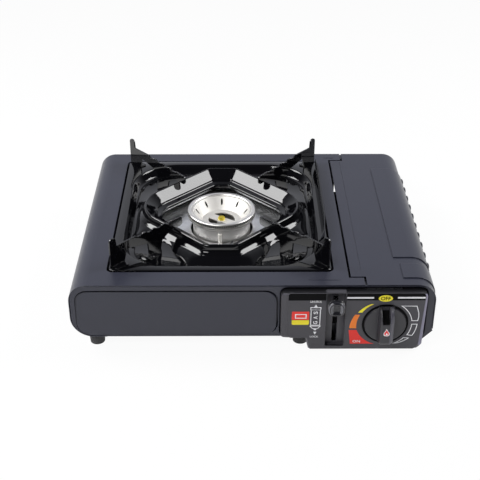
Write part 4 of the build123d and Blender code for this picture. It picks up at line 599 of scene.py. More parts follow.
class Print:
    """Flat shapes of ink on an upright face that looks to the front."""

    FILM = 0.06                     # step from one film of ink to the next, drawn thick enough to lie clear
    DEPTH = FILM * 0.9              # thickness of a film
    MITRE = 0.45                    # least cosine of a mitre, which keeps sharp corners short

    def __init__(self, face_y: float, body: Body, slot: str) -> None:
        """Start on a face.

        Args:
            face_y: The face's distance from the middle of the casing.
            body: Body that carries the ink.
            slot: The record's material slot.
        """
        self.face_y, self.body, self.slot = face_y, body, slot

    def fill(self, name: str, outlines: Iterable[Sequence[Point2]], ink: Surface, layer: int = 1) -> None:
        """Solid shapes of ink.

        Args:
            name: The piece's name.
            outlines: Corner points of each shape, across and up.
            ink: The ink.
            layer: How many films of ink lie under it, counting itself.
        """
        build = bmesh.new()
        front = self.face_y - self.FILM * layer
        for outline in outlines:
            face = build.faces.new([build.verts.new(at(x, front, z)) for x, z in outline])
            pushed = bmesh.ops.extrude_face_region(build, geom=[face])
            back = [v for v in pushed["geom"] if isinstance(v, bmesh.types.BMVert)]
            bmesh.ops.translate(build, verts=back, vec=Vector((0, self.DEPTH * MM, 0)))
        Maker.piece(name, build, ink, self.body, self.slot)

    def outline(self, name: str, paths: Iterable[Sequence[Point2]], width: float, ink: Surface,
                layer: int = 1) -> None:
        """Closed lines of ink, mitred at their corners.

        Args:
            name: The piece's name.
            paths: Corner points of each closed line.
            width: Width of the line.
            ink: The ink.
            layer: How many films of ink lie under it, counting itself.
        """
        quads = []
        for path in paths:
            points = [Vector(p) for p in path]
            count = len(points)
            inner, outer = [], []
            for i, point in enumerate(points):
                before = (point - points[i - 1]).normalized()
                after = (points[(i + 1) % count] - point).normalized()
                side = Vector((-(before.y + after.y), before.x + after.x))
                side = side.normalized() if side.length > 1e-6 else Vector((-after.y, after.x))
                reach = width / 2 / max(self.MITRE, abs(side.dot(Vector((-after.y, after.x)))))
                inner.append(point + side * reach)
                outer.append(point - side * reach)
            for i in range(count):
                j = (i + 1) % count
                quads.append([tuple(inner[i]), tuple(inner[j]), tuple(outer[j]), tuple(outer[i])])
        self.fill(name, quads, ink, layer)

    def words(self, name: str, text: str, middle: Point2, size: Point2, ink: Surface, layer: int = 1,
              upright: bool = False) -> None:
        """Plain lettering, fitted to a width and a height.

        Args:
            name: The piece's name.
            text: The words.
            middle: Their middle, across and up.
            size: Their width and height.
            ink: The ink.
            layer: How many films of ink lie under them, counting themselves.
            upright: Whether they read from the bottom to the top.
        """
        curve = bpy.data.curves.new(name, "FONT")
        curve.body, curve.extrude, curve.offset = text, 0.02, 0.015
        curve.resolution_u = 3
        holder = bpy.data.objects.new(name, curve)
        bpy.context.scene.collection.objects.link(holder)
        bpy.context.view_layer.update()
        mesh = bpy.data.meshes.new_from_object(holder.evaluated_get(bpy.context.evaluated_depsgraph_get()))
        bpy.data.objects.remove(holder)
        low = Vector([min(v.co[i] for v in mesh.vertices) for i in range(3)])
        high = Vector([max(v.co[i] for v in mesh.vertices) for i in range(3)])
        centre, extent = (low + high) / 2, high - low
        front = self.face_y - self.FILM * layer
        for vertex in mesh.vertices:
            across = (vertex.co.x - centre.x) / extent.x * size[0]
            up = (vertex.co.y - centre.y) / extent.y * size[1]
            deep = self.DEPTH * (0.5 - (vertex.co.z - centre.z) / extent.z)
            if upright:
                across, up = -up, across
            vertex.co = at(middle[0] + across, front + deep, middle[1] + up)
        Maker.piece(name, mesh, ink, self.body, self.slot)


# ---------------------------------------------------------------- control panel
@dataclass
class PanelPrint:
    """Ink and sticker on the control panel: scale round the knob, lever's signs and a top band."""

    left: float = 33.4                      # ends of the band
    right: float = 160.5
    band: Point2 = (60.4, 68.0)             # its foot and its top
    chamfer: float = 1.6                    # its cut corners
    left_cut: Point2 = (0.2, 1.4)           # foot of the left one, in from the end and below the top
    channel: Point2 = (68.4, 87.6)          # gap in the band for the lever's channel
    line_z: Point2 = (62.4, 64.2)           # foot and top of the white lines
    line_ends: Point2 = (112.6, 134.7)      # where they stop beside the OFF sign
    line_gap: float = 0.2                   # from their other ends to the band's
    off_middle: Point2 = (123.6, 62.6)
    off_half: Point2 = (6.6, 3.6)           # half sizes of the OFF sign's oval
    sign_x: float = 59.2                    # middle of the signs beside the channel
    letters: tuple[float, ...] = (35.2, 41.0, 46.6)     # heights of the cartridge symbol's letters
    line: float = 0.75                      # width of a printed line
    ink: Print = field(init=False)

    def __post_init__(self) -> None:
        """Start a print on the panel's face."""
        self.ink = Print(PANEL_FACE_Y, Body.CASING, "black_plastic")

    @staticmethod
    def arc(start: float, end: float, radii: Point2, steps: int = 10) -> list[Point2]:
        """Points on an arc about the knob, whose radius may change evenly.

        Args:
            start: First angle in degrees.
            end: Last angle.
            radii: Radius at the first and the last angle.
            steps: Number of steps.

        Returns:
            The points.
        """
        found = []
        for i in range(steps + 1):
            turn = math.radians(start + (end - start) * i / steps)
            radius = radii[0] + (radii[1] - radii[0]) * i / steps
            found.append((KNOB_AXIS[0] + radius * math.cos(turn), KNOB_AXIS[1] + radius * math.sin(turn)))
        return found

    def build(self) -> None:
        """Print the whole panel."""
        self.top_band()
        self.scale()
        self.lever_signs()
        self.sticker()

    def top_band(self) -> None:
        """Black band along the panel's top edge, with two white lines and the OFF sign."""
        (low, high), cut, (gap_left, gap_right) = self.band, self.chamfer, self.channel
        left = [(self.left, low), (gap_left, low), (gap_left, high), (self.left + cut, high),
                (self.left + self.left_cut[0], high - self.left_cut[1])]
        right = [(gap_right, low), (self.right, low), (self.right, high - cut), (self.right - cut, high),
                 (gap_right, high)]
        self.ink.fill("band_left", [left], Surface.INK_BLACK_AND_SHADE)
        self.ink.fill("band_right", [right], Surface.INK_BLACK_AND_SHADE)
        z0, z1 = self.line_z
        spans = ((gap_right + self.line_gap, self.line_ends[0]),
                 (self.line_ends[1], self.right - self.line_gap))
        self.ink.fill("scale_lines", [[(a, z0), (b, z0), (b, z1), (a, z1)] for a, b in spans],
                      Surface.INK_WHITE, 2)
        (x, z), (wide, tall) = self.off_middle, self.off_half
        turns = [math.tau * i / 36 for i in range(36)]
        oval = [(x + wide * math.cos(turn), z + tall * math.sin(turn)) for turn in turns]
        self.ink.fill("off_oval", [oval], Surface.INK_YELLOW, 3)
        self.ink.words("off_word", "OFF", self.off_middle, (9.2, 4.0), Surface.INK_BLACK_AND_SHADE, 4)

    def scale(self) -> None:
        """Coloured and outlined fields of the scale round the knob."""
        self.ink.fill("scale_yellow", [self.arc(150, 118, (25.8, 25.4)) + self.arc(122, 154, (26.6, 29.3))],
                      Surface.INK_YELLOW)
        self.ink.fill("scale_orange", [self.arc(157, 191, (26.3, 27.5)) + self.arc(188.6, 160, (34.0, 30.6))],
                      Surface.INK_ORANGE)
        self.ink.fill("scale_red", [self.arc(195, 248, (27.6, 25.1)) + [(93.1, 10.4), (91.1, 26.5)]],
                      Surface.INK_RED)
        self.ink.words("on_word", "ON", (99.1, 13.3), (7.2, 2.8), Surface.INK_WHITE, 2)
        self.ink.outline("scale_outlines", [
            self.arc(55, 8, (24.7, 25.1)) + [(155.4, 37.2), (156.0, 41.5), (155.6, 46.5), (153.3, 53.8)],
            self.arc(-1.4, -31, (25.0, 25.1)) + self.arc(-27.5, -1.1, (29.7, 30.1)),
            self.arc(-69, -41.6, (24.7, 24.6)) + self.arc(-35.7, -62, (28.6, 25.6)),
        ], self.line, Surface.INK_WHITE)

    def lever_signs(self) -> None:
        """Cartridge symbol with its arrows and words beside the lever's channel."""
        x = self.sign_x
        self.ink.fill("arrows", [[(x - 1.8, 52.6), (x + 1.8, 52.6), (x, 56.0)],
                                 [(x - 1.6, 24.6), (x, 21.4), (x + 1.6, 24.6)],
                                 [(x - 2.0, 28.4), (x - 0.7, 26.4), (x + 0.7, 26.4), (x + 2.0, 28.4)]],
                      Surface.INK_WHITE)
        self.ink.outline("gas_symbol", [
            [(x - 4.7, 49.9), (x + 4.7, 49.9), (x + 4.7, 52.3), (x - 4.7, 52.3)],
            [(x - 4.3, 32.2), (x + 4.3, 32.2), (x + 4.3, 49.7), (x - 4.3, 49.7)],
            [(x - 4.9, 31.2), (x - 2.4, 28.4), (x + 2.4, 28.4), (x + 4.9, 31.2)],
        ], self.line, Surface.INK_WHITE)
        for letter, height in zip("GAS", self.letters):
            self.ink.words("gas_letter_" + letter, letter, (x, height), (3.4, 3.9), Surface.INK_WHITE, 2,
                           upright=True)
        self.ink.words("unlock_word", "UNLOCK", (x, 59.0), (10.8, 2.3), Surface.INK_WHITE)
        self.ink.words("lock_word", "LOCK", (58.7, 18.9), (8.0, 2.0), Surface.INK_WHITE)

    def sticker(self) -> None:
        """Bare red and yellow sticker."""
        self.ink.fill("sticker_red", [[(37.0, 38.3), (53.3, 38.3), (53.3, 47.2), (52.7, 47.8), (37.6, 47.8),
                                       (37.0, 47.2)]], Surface.INK_RED)
        self.ink.outline("sticker_frame", [[(40.4, 40.4), (50.4, 40.4), (50.4, 44.6), (40.4, 44.6)]], 0.9,
                         Surface.INK_WHITE, 2)
        self.ink.fill("sticker_yellow", [[(37.8, 32.7), (52.4, 32.7), (53.3, 33.8), (53.3, 38.0),
                                          (37.0, 38.0), (37.0, 33.8)]], Surface.INK_YELLOW)


# ---------------------------------------------------------------- pressed marks
@dataclass
class PressedMarks:
    """Fine raised beads pressed into the casing's top, each from side to side."""

    rise: float = 0.28
    sink: float = 0.02                                  # depth of a bead's foot in the sheet
    tip: float = 0.25                                   # share of its section that is left at both ends
    steps: int = 6
    front_bead: tuple[Point3, float] = ((52.0, 84.0, -128.5), 1.1)      # ends and place, and width
    rear_stop: tuple[Point3, float] = ((85.5, 98.0, 127.0), 1.6)

    def bead(self, name: str, span: Point3, width: float) -> None:
        """Low half-round bead, tapering at both ends.

        Args:
            name: The piece's name.
            span: Its left and its right end, and its place to the back.
            width: Its width.
        """
        left, right, y = span
        rows = []
        for i in range(self.steps + 1):
            share = self.tip if i in (0, self.steps) else 1.0
            turns = [math.pi * k / 6 for k in range(7)]
            rows.append([at(left + (right - left) * i / self.steps, y - width / 2 * share * math.cos(turn),
                            CASING_TOP - self.sink + self.rise * share * math.sin(turn)) for turn in turns])
        Maker.piece(name, Maker.loft(rows, caps=True), Surface.BODY, Body.CASING, "painted_steel",
                    smooth=True)

    def build(self) -> None:
        """Press every mark."""
        self.bead("bead_front", *self.front_bead)
        self.bead("stop_rear", *self.rear_stop)


# ---------------------------------------------------------------- outlines
class Outline:
    """Closed outlines in millimetres, with rounded corners."""

    @staticmethod
    def legs(corners: Sequence[Point2], i: int) -> tuple[Vector, Vector, Vector]:
        """A corner, and the directions to the ones before and after it.

        Args:
            corners: An outline's corners, in order.
            i: Number of the corner.

        Returns:
            The corner and both directions.
        """
        here = Vector(corners[i])
        before, after = Vector(corners[i - 1]), Vector(corners[(i + 1) % len(corners)])
        return here, (before - here).normalized(), (after - here).normalized()

    @staticmethod
    def rounded(corners: Sequence[Point2], radii: Sequence[float], steps: int = 8) -> list[Point2]:
        """Round every corner of a convex outline with an arc.

        Args:
            corners: Its corners, in order.
            radii: Radius at each corner.
            steps: Straight pieces in each rounding.

        Returns:
            Points along the rounded outline.
        """
        found = []
        for i, radius in enumerate(radii):
            here, before, after = Outline.legs(corners, i)
            angle = before.angle(after)
            reach = radius / math.tan(angle / 2)
            centre = here + (before + after).normalized() * radius / math.sin(angle / 2)
            first, last, turn = here + before * reach - centre, here + after * reach - centre, math.pi - angle
            for k in range(steps + 1):
                near, far = math.sin((1 - k / steps) * turn), math.sin(k / steps * turn)
                found.append(tuple(centre + (first * near + last * far) / math.sin(turn)))
        return found

    @staticmethod
    def turned(corners: Sequence[Point2], radii: Sequence[float], steps: int = 6) -> list[Point2]:
        """Round every corner of an outline that may turn either way with a parabola.

        Args:
            corners: Its corners, in order.
            radii: Radius at each corner.
            steps: Straight pieces in each rounding.

        Returns:
            Points along the rounded outline.
        """
        found = []
        for i, radius in enumerate(radii):
            here, before, after = Outline.legs(corners, i)
            reach = radius / math.tan(before.angle(after) / 2)
            first, last = here + before * reach, here + after * reach
            for k in range(steps + 1):
                share = k / steps
                found.append(tuple(first.lerp(here, share).lerp(here.lerp(last, share), share)))
        return found

    @staticmethod
    def box(x0: float, x1: float, z0: float, z1: float, radius: float) -> list[Point2]:
        """Rectangle with equal roundings."""
        return Outline.rounded([(x0, z0), (x1, z0), (x1, z1), (x0, z1)], [radius] * 4)

    @staticmethod
    def ring(middle: Point2, radius: float, steps: int = 64) -> list[Point2]:
        """Circle about a point."""
        return [(middle[0] + radius * math.cos(math.tau * i / steps),
                 middle[1] + radius * math.sin(math.tau * i / steps)) for i in range(steps)]

    @staticmethod
    def reach(points: Sequence[Point2], angles: Sequence[float]) -> list[float]:
        """Distance of an outline from its middle at given angles.

        Args:
            points: The outline, round the origin.
            angles: Angles in radians, from 0 to a full turn.

        Returns:
            One distance for each angle.
        """
        polar = sorted((math.atan2(y, x) % math.tau, x, y) for x, y in points)
        (low, *start), (high, *end) = polar[0], polar[-1]
        polar = [(high - math.tau, *end), *polar, (low + math.tau, *start)]
        found, k = [], 0
        for angle in angles:
            while k < len(polar) - 2 and polar[k + 1][0] < angle:
                k += 1
            (_, ax, ay), (_, bx, by) = polar[k], polar[k + 1]
            way = (math.cos(angle), math.sin(angle))
            cross = way[0] * (by - ay) - way[1] * (bx - ax)
            found.append((ax * by - ay * bx) / cross if abs(cross) > 1e-9 else math.hypot(ax, ay))
        return found


class Sheet:
    """Plates cut to an outline in the front view, with softly broken edges."""

    @staticmethod
    def plate(name: str, outlines: Sequence[Sequence[Point2]], span_y: Point2, edge: float, surface: Surface,
              body: Body, slot: str) -> bpy.types.Object:
        """Plate with holes.

        Args:
            name: The piece's name.
            outlines: Its outer edge, then its holes.
            span_y: Its front and its back.
            edge: Radius of its broken edges.
            surface: Its finish.
            body: Body that carries it.
            slot: The record's material slot.

        Returns:
            The new object.
        """
        curve = bpy.data.curves.new(name, "CURVE")
        curve.dimensions, curve.fill_mode = "2D", "BOTH"
        curve.bevel_depth, curve.bevel_resolution, curve.offset = edge, 2, -edge
        curve.extrude = (span_y[1] - span_y[0]) / 2 - edge
        for outline in outlines:
            spline = curve.splines.new("POLY")
            spline.points.add(len(outline) - 1)
            for point, (x, z) in zip(spline.points, outline):
                point.co = (x, z, 0, 1)
            spline.use_cyclic_u = True
        holder = bpy.data.objects.new(name, curve)
        bpy.context.scene.collection.objects.link(holder)
        bpy.context.view_layer.update()
        mesh = bpy.data.meshes.new_from_object(holder.evaluated_get(bpy.context.evaluated_depsgraph_get()))
        bpy.data.objects.remove(holder)
        middle = (span_y[0] + span_y[1]) / 2
        for vertex in mesh.vertices:
            vertex.co = at(vertex.co.x, middle - vertex.co.z, vertex.co.y)
        return Maker.piece(name, mesh, surface, body, slot)


# ---------------------------------------------------------------- drip pan
@dataclass
class EnamelledPan:
    """Deep-drawn drip pan: flat rim, round-cornered floor, soft ridge about the burner and a lip.

    Every form is a ring about the burner's axis, so that the sheet flows from one to the next as
    drawn steel does.
    """

    floor_z: float = 63.2
    flat: float = 81.2                                  # axis to the crest, to the front and back
    diagonal: float = 67.9                              # and across the slanting sides
    side_round: float = 41.0                            # crest's wide roundings at its left and right
    flat_round: float = 9.0
    least_round: Point2 = (6.0, 3.0)                    # what is left of both where the outline is inset
    rim: Point2 = (98.2, 106.95)                        # inner half sizes of the flat rim
    rim_round: float = 49.0
    rim_width: float = 8.0
    brim_round: float = 5.0                             # corners of the rim's outer edge
    pads: Point2 = (65.5, 70.2)                         # middle of a pad, from the burner's axis
    pad_radius: float = 16.0
    pad_rise: float = 0.8
    pad_slope: Point2 = (2.6, 6.0)                      # end of the pad's slope outside it, and its width
    bead: Point3 = (0.5, 7.0, 2.2)                      # rise round a pad, its place beyond it and its width
    floor_rings: int = 18
    ridge_foot: float = -6.6                            # inset of the ridge's foot from its crest
    wall_foot: float = 8.0
    fall: Point2 = (22.0, 5.0)                          # width of the floor's fall, in front and behind
    straight: float = 0.6                               # share of the fall that is straight, not eased
    inner: tuple[Point2, ...] = (                       # inset from the crest, and height
        (17.1, 65.4), (17.0, 68.2), (16.6, 68.9), (16.0, 69.2), (12.4, 70.1), (11.5, 70.5), (11.0, 71.2),
        (10.7, 72.0), (10.2, 72.7), (7.5, 74.95), (4.5, 77.45), (2.0, 79.5), (1.2, 80.2), (0.6, 80.75),
        (0.0, 81.0), (-0.8, 80.7), (-1.4, 80.0), (-1.8, 78.9), (-2.3, 76.8), (-2.7, 75.2), (-3.1, 74.2),
        (-3.6, 73.6), (-5.0, 72.4), (-6.2, 71.4))
    outer: tuple[Point2, ...] = (                       # inset from the rim's inner edge, and height
        (7.2, 63.25), (5.9, 63.7), (4.9, 64.7), (3.9, 66.6), (1.7, 70.6), (0.9, 71.8), (0.1, 72.35),
        (-0.9, 72.5))
    brim: tuple[Point2, ...] = (                        # the same, down the rim's outer edge
        (-7.3, 72.5), (-7.85, 72.2), (-8.0, 71.6), (-8.0, 68.5), (-7.0, 68.5), (-7.0, 71.6))
    under: tuple[Point2, ...] = ((-0.6, 71.6), (5.6, 62.5))     # the same, under the rim and the wall
    under_ridge: tuple[Point2, ...] = (                 # inset from the crest, and height under the ridge
        (-6.6, 68.6), (-3.4, 69.6), (0.2, 79.9), (9.4, 71.6), (11.4, 68.9), (16.2, 67.8), (16.5, 65.4))
    spokes: list[float] = field(init=False)

    def __post_init__(self) -> None:
        """Set the grid's spokes, closer together at the rim's corners."""
        spokes = {math.tau * i / 288 for i in range(288)}
        corner = math.atan2(self.rim[1] + self.rim_width, self.rim[0] + self.rim_width)
        for side in (corner, math.pi - corner, math.pi + corner, math.tau - corner):
            spokes |= {side + math.radians(0.3) * k for k in range(-7, 8)}
        self.spokes = sorted(spokes)

    def ridge(self, inset: float) -> list[float]:
        """Reach of the ridge's outline on each spoke.

        Args:
            inset: How far it lies inside the ridge's crest.

        Returns:
            One distance from the burner's axis for each spoke.
        """
        flat, cut = self.flat - inset, (self.diagonal - inset) * math.sqrt(2)
        side, small = (max(radius - inset, least) for radius, least in
                       zip((self.side_round, self.flat_round), self.least_round))
        short = cut - flat
        corners = [(cut, 0), (short, flat), (-short, flat), (-cut, 0), (-short, -flat), (short, -flat)]
        rounds = [side, small, small, side, small, small]
        return Outline.reach(Outline.rounded(corners, rounds, 12), self.spokes)

    def edge(self, inset: float, radius: float) -> list[float]:
        """Reach of the wall or the rim on each spoke.

        Args:
            inset: How far it lies inside the rim's inner edge.
            radius: Rounding of its corners.

        Returns:
            One distance from the burner's axis for each spoke.
        """
        x, y = self.rim[0] - inset, self.rim[1] - inset
        corners = [(x, -y), (x, y), (-x, y), (-x, -y)]
        return Outline.reach(Outline.rounded(corners, [radius] * 4, 16), self.spokes)

    def ring(self, reaches: Iterable[float], height: float) -> list[Vector]:
        """Points of one height, one on each spoke, in metres."""
        x, y = BURNER_AXIS
        return [at(x + reach * math.cos(angle), y + reach * math.sin(angle), height)
                for angle, reach in zip(self.spokes, reaches)]

    def floor_height(self, x: float, y: float, out: float, gap: float) -> float:
        """Height of the floor, which falls away from the ridge and carries a pad in each corner.

        Args:
            x: Across, from the burner's axis.
            y: To the back, from the burner's axis.
            out: Distance from the ridge's foot.
            gap: Whole distance from the ridge's foot to the wall.

        Returns:
            The height.
        """
        front = 0.5 - 0.5 * y / math.hypot(x, y)
        share = min(out / min(self.fall[1] + (self.fall[0] - self.fall[1]) * front, gap), 1.0)
        slope = self.straight * share + (1 - self.straight) * share * share * (3 - 2 * share)
        base = self.floor_z + (self.inner[-1][1] - 0.5 - self.floor_z) * (1 - slope)
        away = math.hypot(abs(x) - self.pads[0], abs(y) - self.pads[1])
        rise = min(max((self.pad_radius + self.pad_slope[0] - away) / self.pad_slope[1], 0.0), 1.0)
        rise = rise * rise * (3 - 2 * rise)
        swell = self.bead[0] * math.exp(-((away - self.pad_radius - self.bead[1]) / self.bead[2]) ** 2)
        swell *= min(out / self.wall_foot, 1.0)
        return base * (1 - rise) + (self.floor_z + self.pad_rise) * rise + swell

    def floor(self) -> list[list[Vector]]:
        """Rings of the floor, from the ridge's foot to the wall's.

        Returns:
            The points of each ring, one on each spoke, in metres.
        """
        rows = []
        ridge, wall = self.ridge(self.ridge_foot), self.edge(self.wall_foot, self.rim_round - self.wall_foot)
        for k in range(self.floor_rings + 1):
            row = []
            for angle, near, far in zip(self.spokes, ridge, wall):
                out = (far - near) * k / self.floor_rings
                x, y = (near + out) * math.cos(angle), (near + out) * math.sin(angle)
                height = self.floor_height(x, y, out, far - near)
                row.append(at(BURNER_AXIS[0] + x, BURNER_AXIS[1] + y, height))
            rows.append(row)
        return rows

    def build(self) -> None:
        """Draw the pan and let it stand for its solid."""
        rows = [self.ring(self.ridge(inset), height) for inset, height in self.inner]
        rows += self.floor()
        rows += [self.ring(self.edge(inset, self.rim_round - inset), height) for inset, height in self.outer]
        rows += [self.ring(self.edge(inset, self.brim_round), height) for inset, height in self.brim]
        rows += [self.ring(self.edge(inset, self.rim_round - inset), height) for inset, height in self.under]
        rows += [self.ring(self.ridge(inset), height) for inset, height in self.under_ridge]
        pan = Maker.piece("drawn_pan", Maker.loft(rows, ring=True), Surface.PAN, Body.PAN, "black_enamel",
                          smooth=True)
        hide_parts("drip_pan")


# ---------------------------------------------------------------- front of the casing
@dataclass
class PressedFront:
    """Front of the casing: a plate with a crisp sunk field, let in behind the control panel."""

    face_y: float = -137.4
    wrap: float = 1.2                                   # how far the plate lies inside the casing's outline
    half_width: float = 172.5
    low: Point2 = (13.5, 3.0)                           # casing's underside, beside the bay and under it
    step: Point2 = (61.5, 63.5)                         # bay's left end, at its top and its foot
    cut: Point2 = (157.0, 19.5)                         # foot and top of the bay's slanting corner
    corner: Point2 = (22.0, 18.0)                       # casing's lower left and upper roundings
    small: Point2 = (0.6, 3.0)                          # roundings at the step and at the cut
    field: Box4 = (-166.8, 24.5, 16.3, 65.9)
    field_round: float = 12.0
    field_depth: float = 2.4
    groove: Point2 = (1.3, 2.7)                         # dark line along the field's right side and its top
    groove_depth: float = 6.0
    well: tuple[Point2, ...] = (
        (26.0, 69.4), (26.0, 16.2), (62.8, 16.2), (64.6, 6.0), (154.6, 6.0), (164.7, 17.5), (164.7, 69.4))
    well_rounds: tuple[float, ...] = (8.0, 3.0, 0.5, 0.5, 4.0, 4.0, 8.0)
    well_middle: Point2 = (96.0, 40.0)
    well_growth: float = 1.014                          # outside of the well's wall over its inside
    well_depth: float = 9.0
    sheet: float = 0.8
    hole: Box4 = (64.0, 152.0, 22.0, 64.0)

    def outline(self) -> list[Point2]:
        """Front view of the casing inside the wrap, with the lowered bay at its right.

        Returns:
            Points along the outline.
        """
        half, top = self.half_width - self.wrap, CASING_TOP - self.wrap
        low, bay = (z + self.wrap for z in self.low)
        corners = [(-half, low), (self.step[0], low), (self.step[1], bay), (self.cut[0], bay),
                   (half, self.cut[1]), (half, top), (-half, top)]
        (foot, upper), (step, cut) = (radius - self.wrap for radius in self.corner), self.small
        return Outline.turned(corners, [foot, step, step, cut, cut, upper, upper], 10)

    def build(self) -> None:
        """Press the plate, its field and the well behind the control panel."""
        (x0, x1, z0, z1), front, rounding = self.field, self.face_y, self.field_round
        well = Outline.turned(self.well, self.well_rounds)
        middle = Vector(self.well_middle)
        grown = [tuple(middle + (Vector(point) - middle) * self.well_growth) for point in well]
        behind = Outline.box(x0 - 1, x1 - self.groove[0], z0 - 1, z1 - self.groove[1], rounding)
        groove, deep = front + self.groove_depth, front + self.well_depth
        plates = {
            "front_plate": ([self.outline(), Outline.box(x0, x1, z0, z1, rounding), well],
                            (front, front + self.field_depth + 0.6), 0.5),
            "front_field": ([behind], (front + 0.2, front + 0.2 + self.sheet), 0.3),
            "field_groove": ([Outline.box(x0 - 1, x1 + 1, z0 - 1, z1 + 1, rounding + 1)],
                             (groove, groove + self.sheet), 0.05),
            "well_wall": ([grown, well], (front + 1.0, deep), 0.05),
            "well_floor": ([grown, Outline.box(*self.hole, 3.0)], (deep, deep + self.sheet), 0.05)}
        made = {name: Sheet.plate(name, outlines, span, edge, Surface.BODY, Body.CASING, "painted_steel")
                for name, (outlines, span, edge) in plates.items()}
        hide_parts("front_panel")
        foot, lean = at(0, 0, z0 - 1).z, self.field_depth / (z1 - z0)
        for vertex in made["front_field"].data.vertices:        # it leans back towards its top
            vertex.co.y += (vertex.co.z - foot) * lean


@dataclass
class ControlPanel:
    """Moulded control panel: a face with bevelled sides, the lever's channel and the knob's recess."""

    back_y: float = -130.5
    bevel_y: Point2 = (-141.8, -142.5)
    lip: Point2 = (0.9, 1.9)                            # depth of the sides' front rows behind the face
    thickness: float = 2.2
    channel: Box4 = (69.2, 86.9, 8.0, 67.8)
    channel_round: float = 1.2
    slot: Box4 = (75.8, 80.3, 10.0, 62.0)
    channel_depth: float = 5.5
    recess: float = 21.9
    recess_depth: float = 3.0
    shaft_hole: float = 9.0
    wall: float = 0.9
    outside: tuple[Point2, ...] = (
        (27.0, 66.8), (27.0, 16.0), (50.4, 16.0), (53.6, 3.1), (157.6, 3.1), (162.0, 8.0), (163.5, 66.8))
    inside: tuple[Point2, ...] = (
        (32.6, 68.4), (33.6, 17.2), (51.8, 17.2), (54.8, 4.2), (154.0, 4.2), (158.2, 8.6), (161.3, 68.4))
    rounds: tuple[float, ...] = (5.0, 4.0, 1.0, 1.0, 3.0, 3.0, 5.0)

    def build(self) -> None:
        """Mould the panel; its face stands for the whole solid."""
        face, wall = PANEL_FACE_Y, self.wall
        channel = Outline.box(*self.channel, self.channel_round)
        recess = Outline.ring(KNOB_AXIS, self.recess)
        plate = self.plate("panel_face", [Outline.turned(self.inside, self.rounds), channel, recess],
                           (face, face + self.thickness), 0.35)
        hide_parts("control_panel")
        self.sides()
        a, b, low, high = self.channel
        grown = Outline.box(a - wall, b + wall, low - wall, high + wall, 2.0)
        floor = face + self.channel_depth
        self.plate("channel_walls", [grown, channel], (face + 0.5, floor + 0.5), 0.1)
        self.plate("channel_floor", [grown, Outline.box(*self.slot, 0.8)], (floor, floor + wall), 0.1)
        floor = face + self.recess_depth
        self.plate("recess_wall", [Outline.ring(KNOB_AXIS, self.recess + wall), recess],
                   (face + 0.5, floor + 0.5), 0.1)
        self.plate("recess_floor", [Outline.ring(KNOB_AXIS, self.recess + 0.5),
                                    Outline.ring(KNOB_AXIS, self.shaft_hole)], (floor, floor + wall), 0.1)

    def sides(self) -> None:
        """Bevelled sides with painted light: highlights on the left and right bevels, black shade on the top.
        """
        outer = Outline.turned(self.outside, self.rounds)
        inner = Outline.turned(self.inside, self.rounds)
        places = [(outer, y) for y in (self.back_y, *self.bevel_y)]
        places += [(inner, PANEL_FACE_Y + depth) for depth in self.lip]
        rows = [[at(x, y, z) for x, z in outline] for outline, y in places]
        sides = Maker.piece("panel_sides", Maker.loft(rows), Surface.PANEL, Body.CASING, "black_plastic")
        for surface in (Surface.LIT_ABS, Surface.BRIGHT_LIT_ABS, Surface.IGNITER_AND_SHADE):
            sides.data.materials.append(surface.material())
        # painted light: left-facing faces paler and right-facing faces bright lavender as painted highlights,
        # upward faces black as painted shade
        for polygon in sides.data.polygons:
            if abs(polygon.normal.x) > 0.4 and polygon.normal.y < -0.1:
                polygon.material_index = 1 if polygon.normal.x < 0 else 2
            elif polygon.normal.z > 0.5:
                polygon.material_index = 3

    @staticmethod
    def plate(name: str, outlines: Sequence[Sequence[Point2]], span: Point2, edge: float) -> bpy.types.Object:
        """Plate of the panel's plastic."""
        return Sheet.plate(name, outlines, span, edge, Surface.PANEL, Body.CASING, "black_plastic")


# ---------------------------------------------------------------- burner
@dataclass
class BurnerTray:
    """Bright pressed tray under the pan, hung in the casing's opening, with a hole for the burner's pot."""

    hole: tuple[Point2, ...] = ((32.4, 52.2), (33.2, 52.8))     # radius and height of the hole's two edges
    corner: float = 24.0
    rings: tuple[Point2, ...] = (                               # inset from the pan's inner rim, and height
        (6.0, 52.8), (1.6, 53.1), (0.0, 53.9), (-0.8, 55.4), (-1.0, 57.0), (-1.0, 69.4), (-1.4, 70.2),
        (-2.0, 70.7), (-6.0, 70.7), (-6.0, 70.2), (-2.2, 70.2), (-1.5, 69.2), (-1.5, 56.8), (-1.2, 55.0),
        (0.0, 53.3), (1.6, 52.5), (6.0, 52.2))

    def build(self) -> None:
        """Press the tray; it stands for its solid."""
        pan = EnamelledPan()
        rows = [pan.ring([radius] * len(pan.spokes), height) for radius, height in self.hole]
        rows += [pan.ring(pan.edge(inset, self.corner - inset), height) for inset, height in self.rings]
        tray = Maker.piece("pressed_tray", Maker.loft(rows, ring=True), Surface.TRAY, Body.CASING,
                           "galvanised", smooth=True)
        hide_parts("burner_tray")


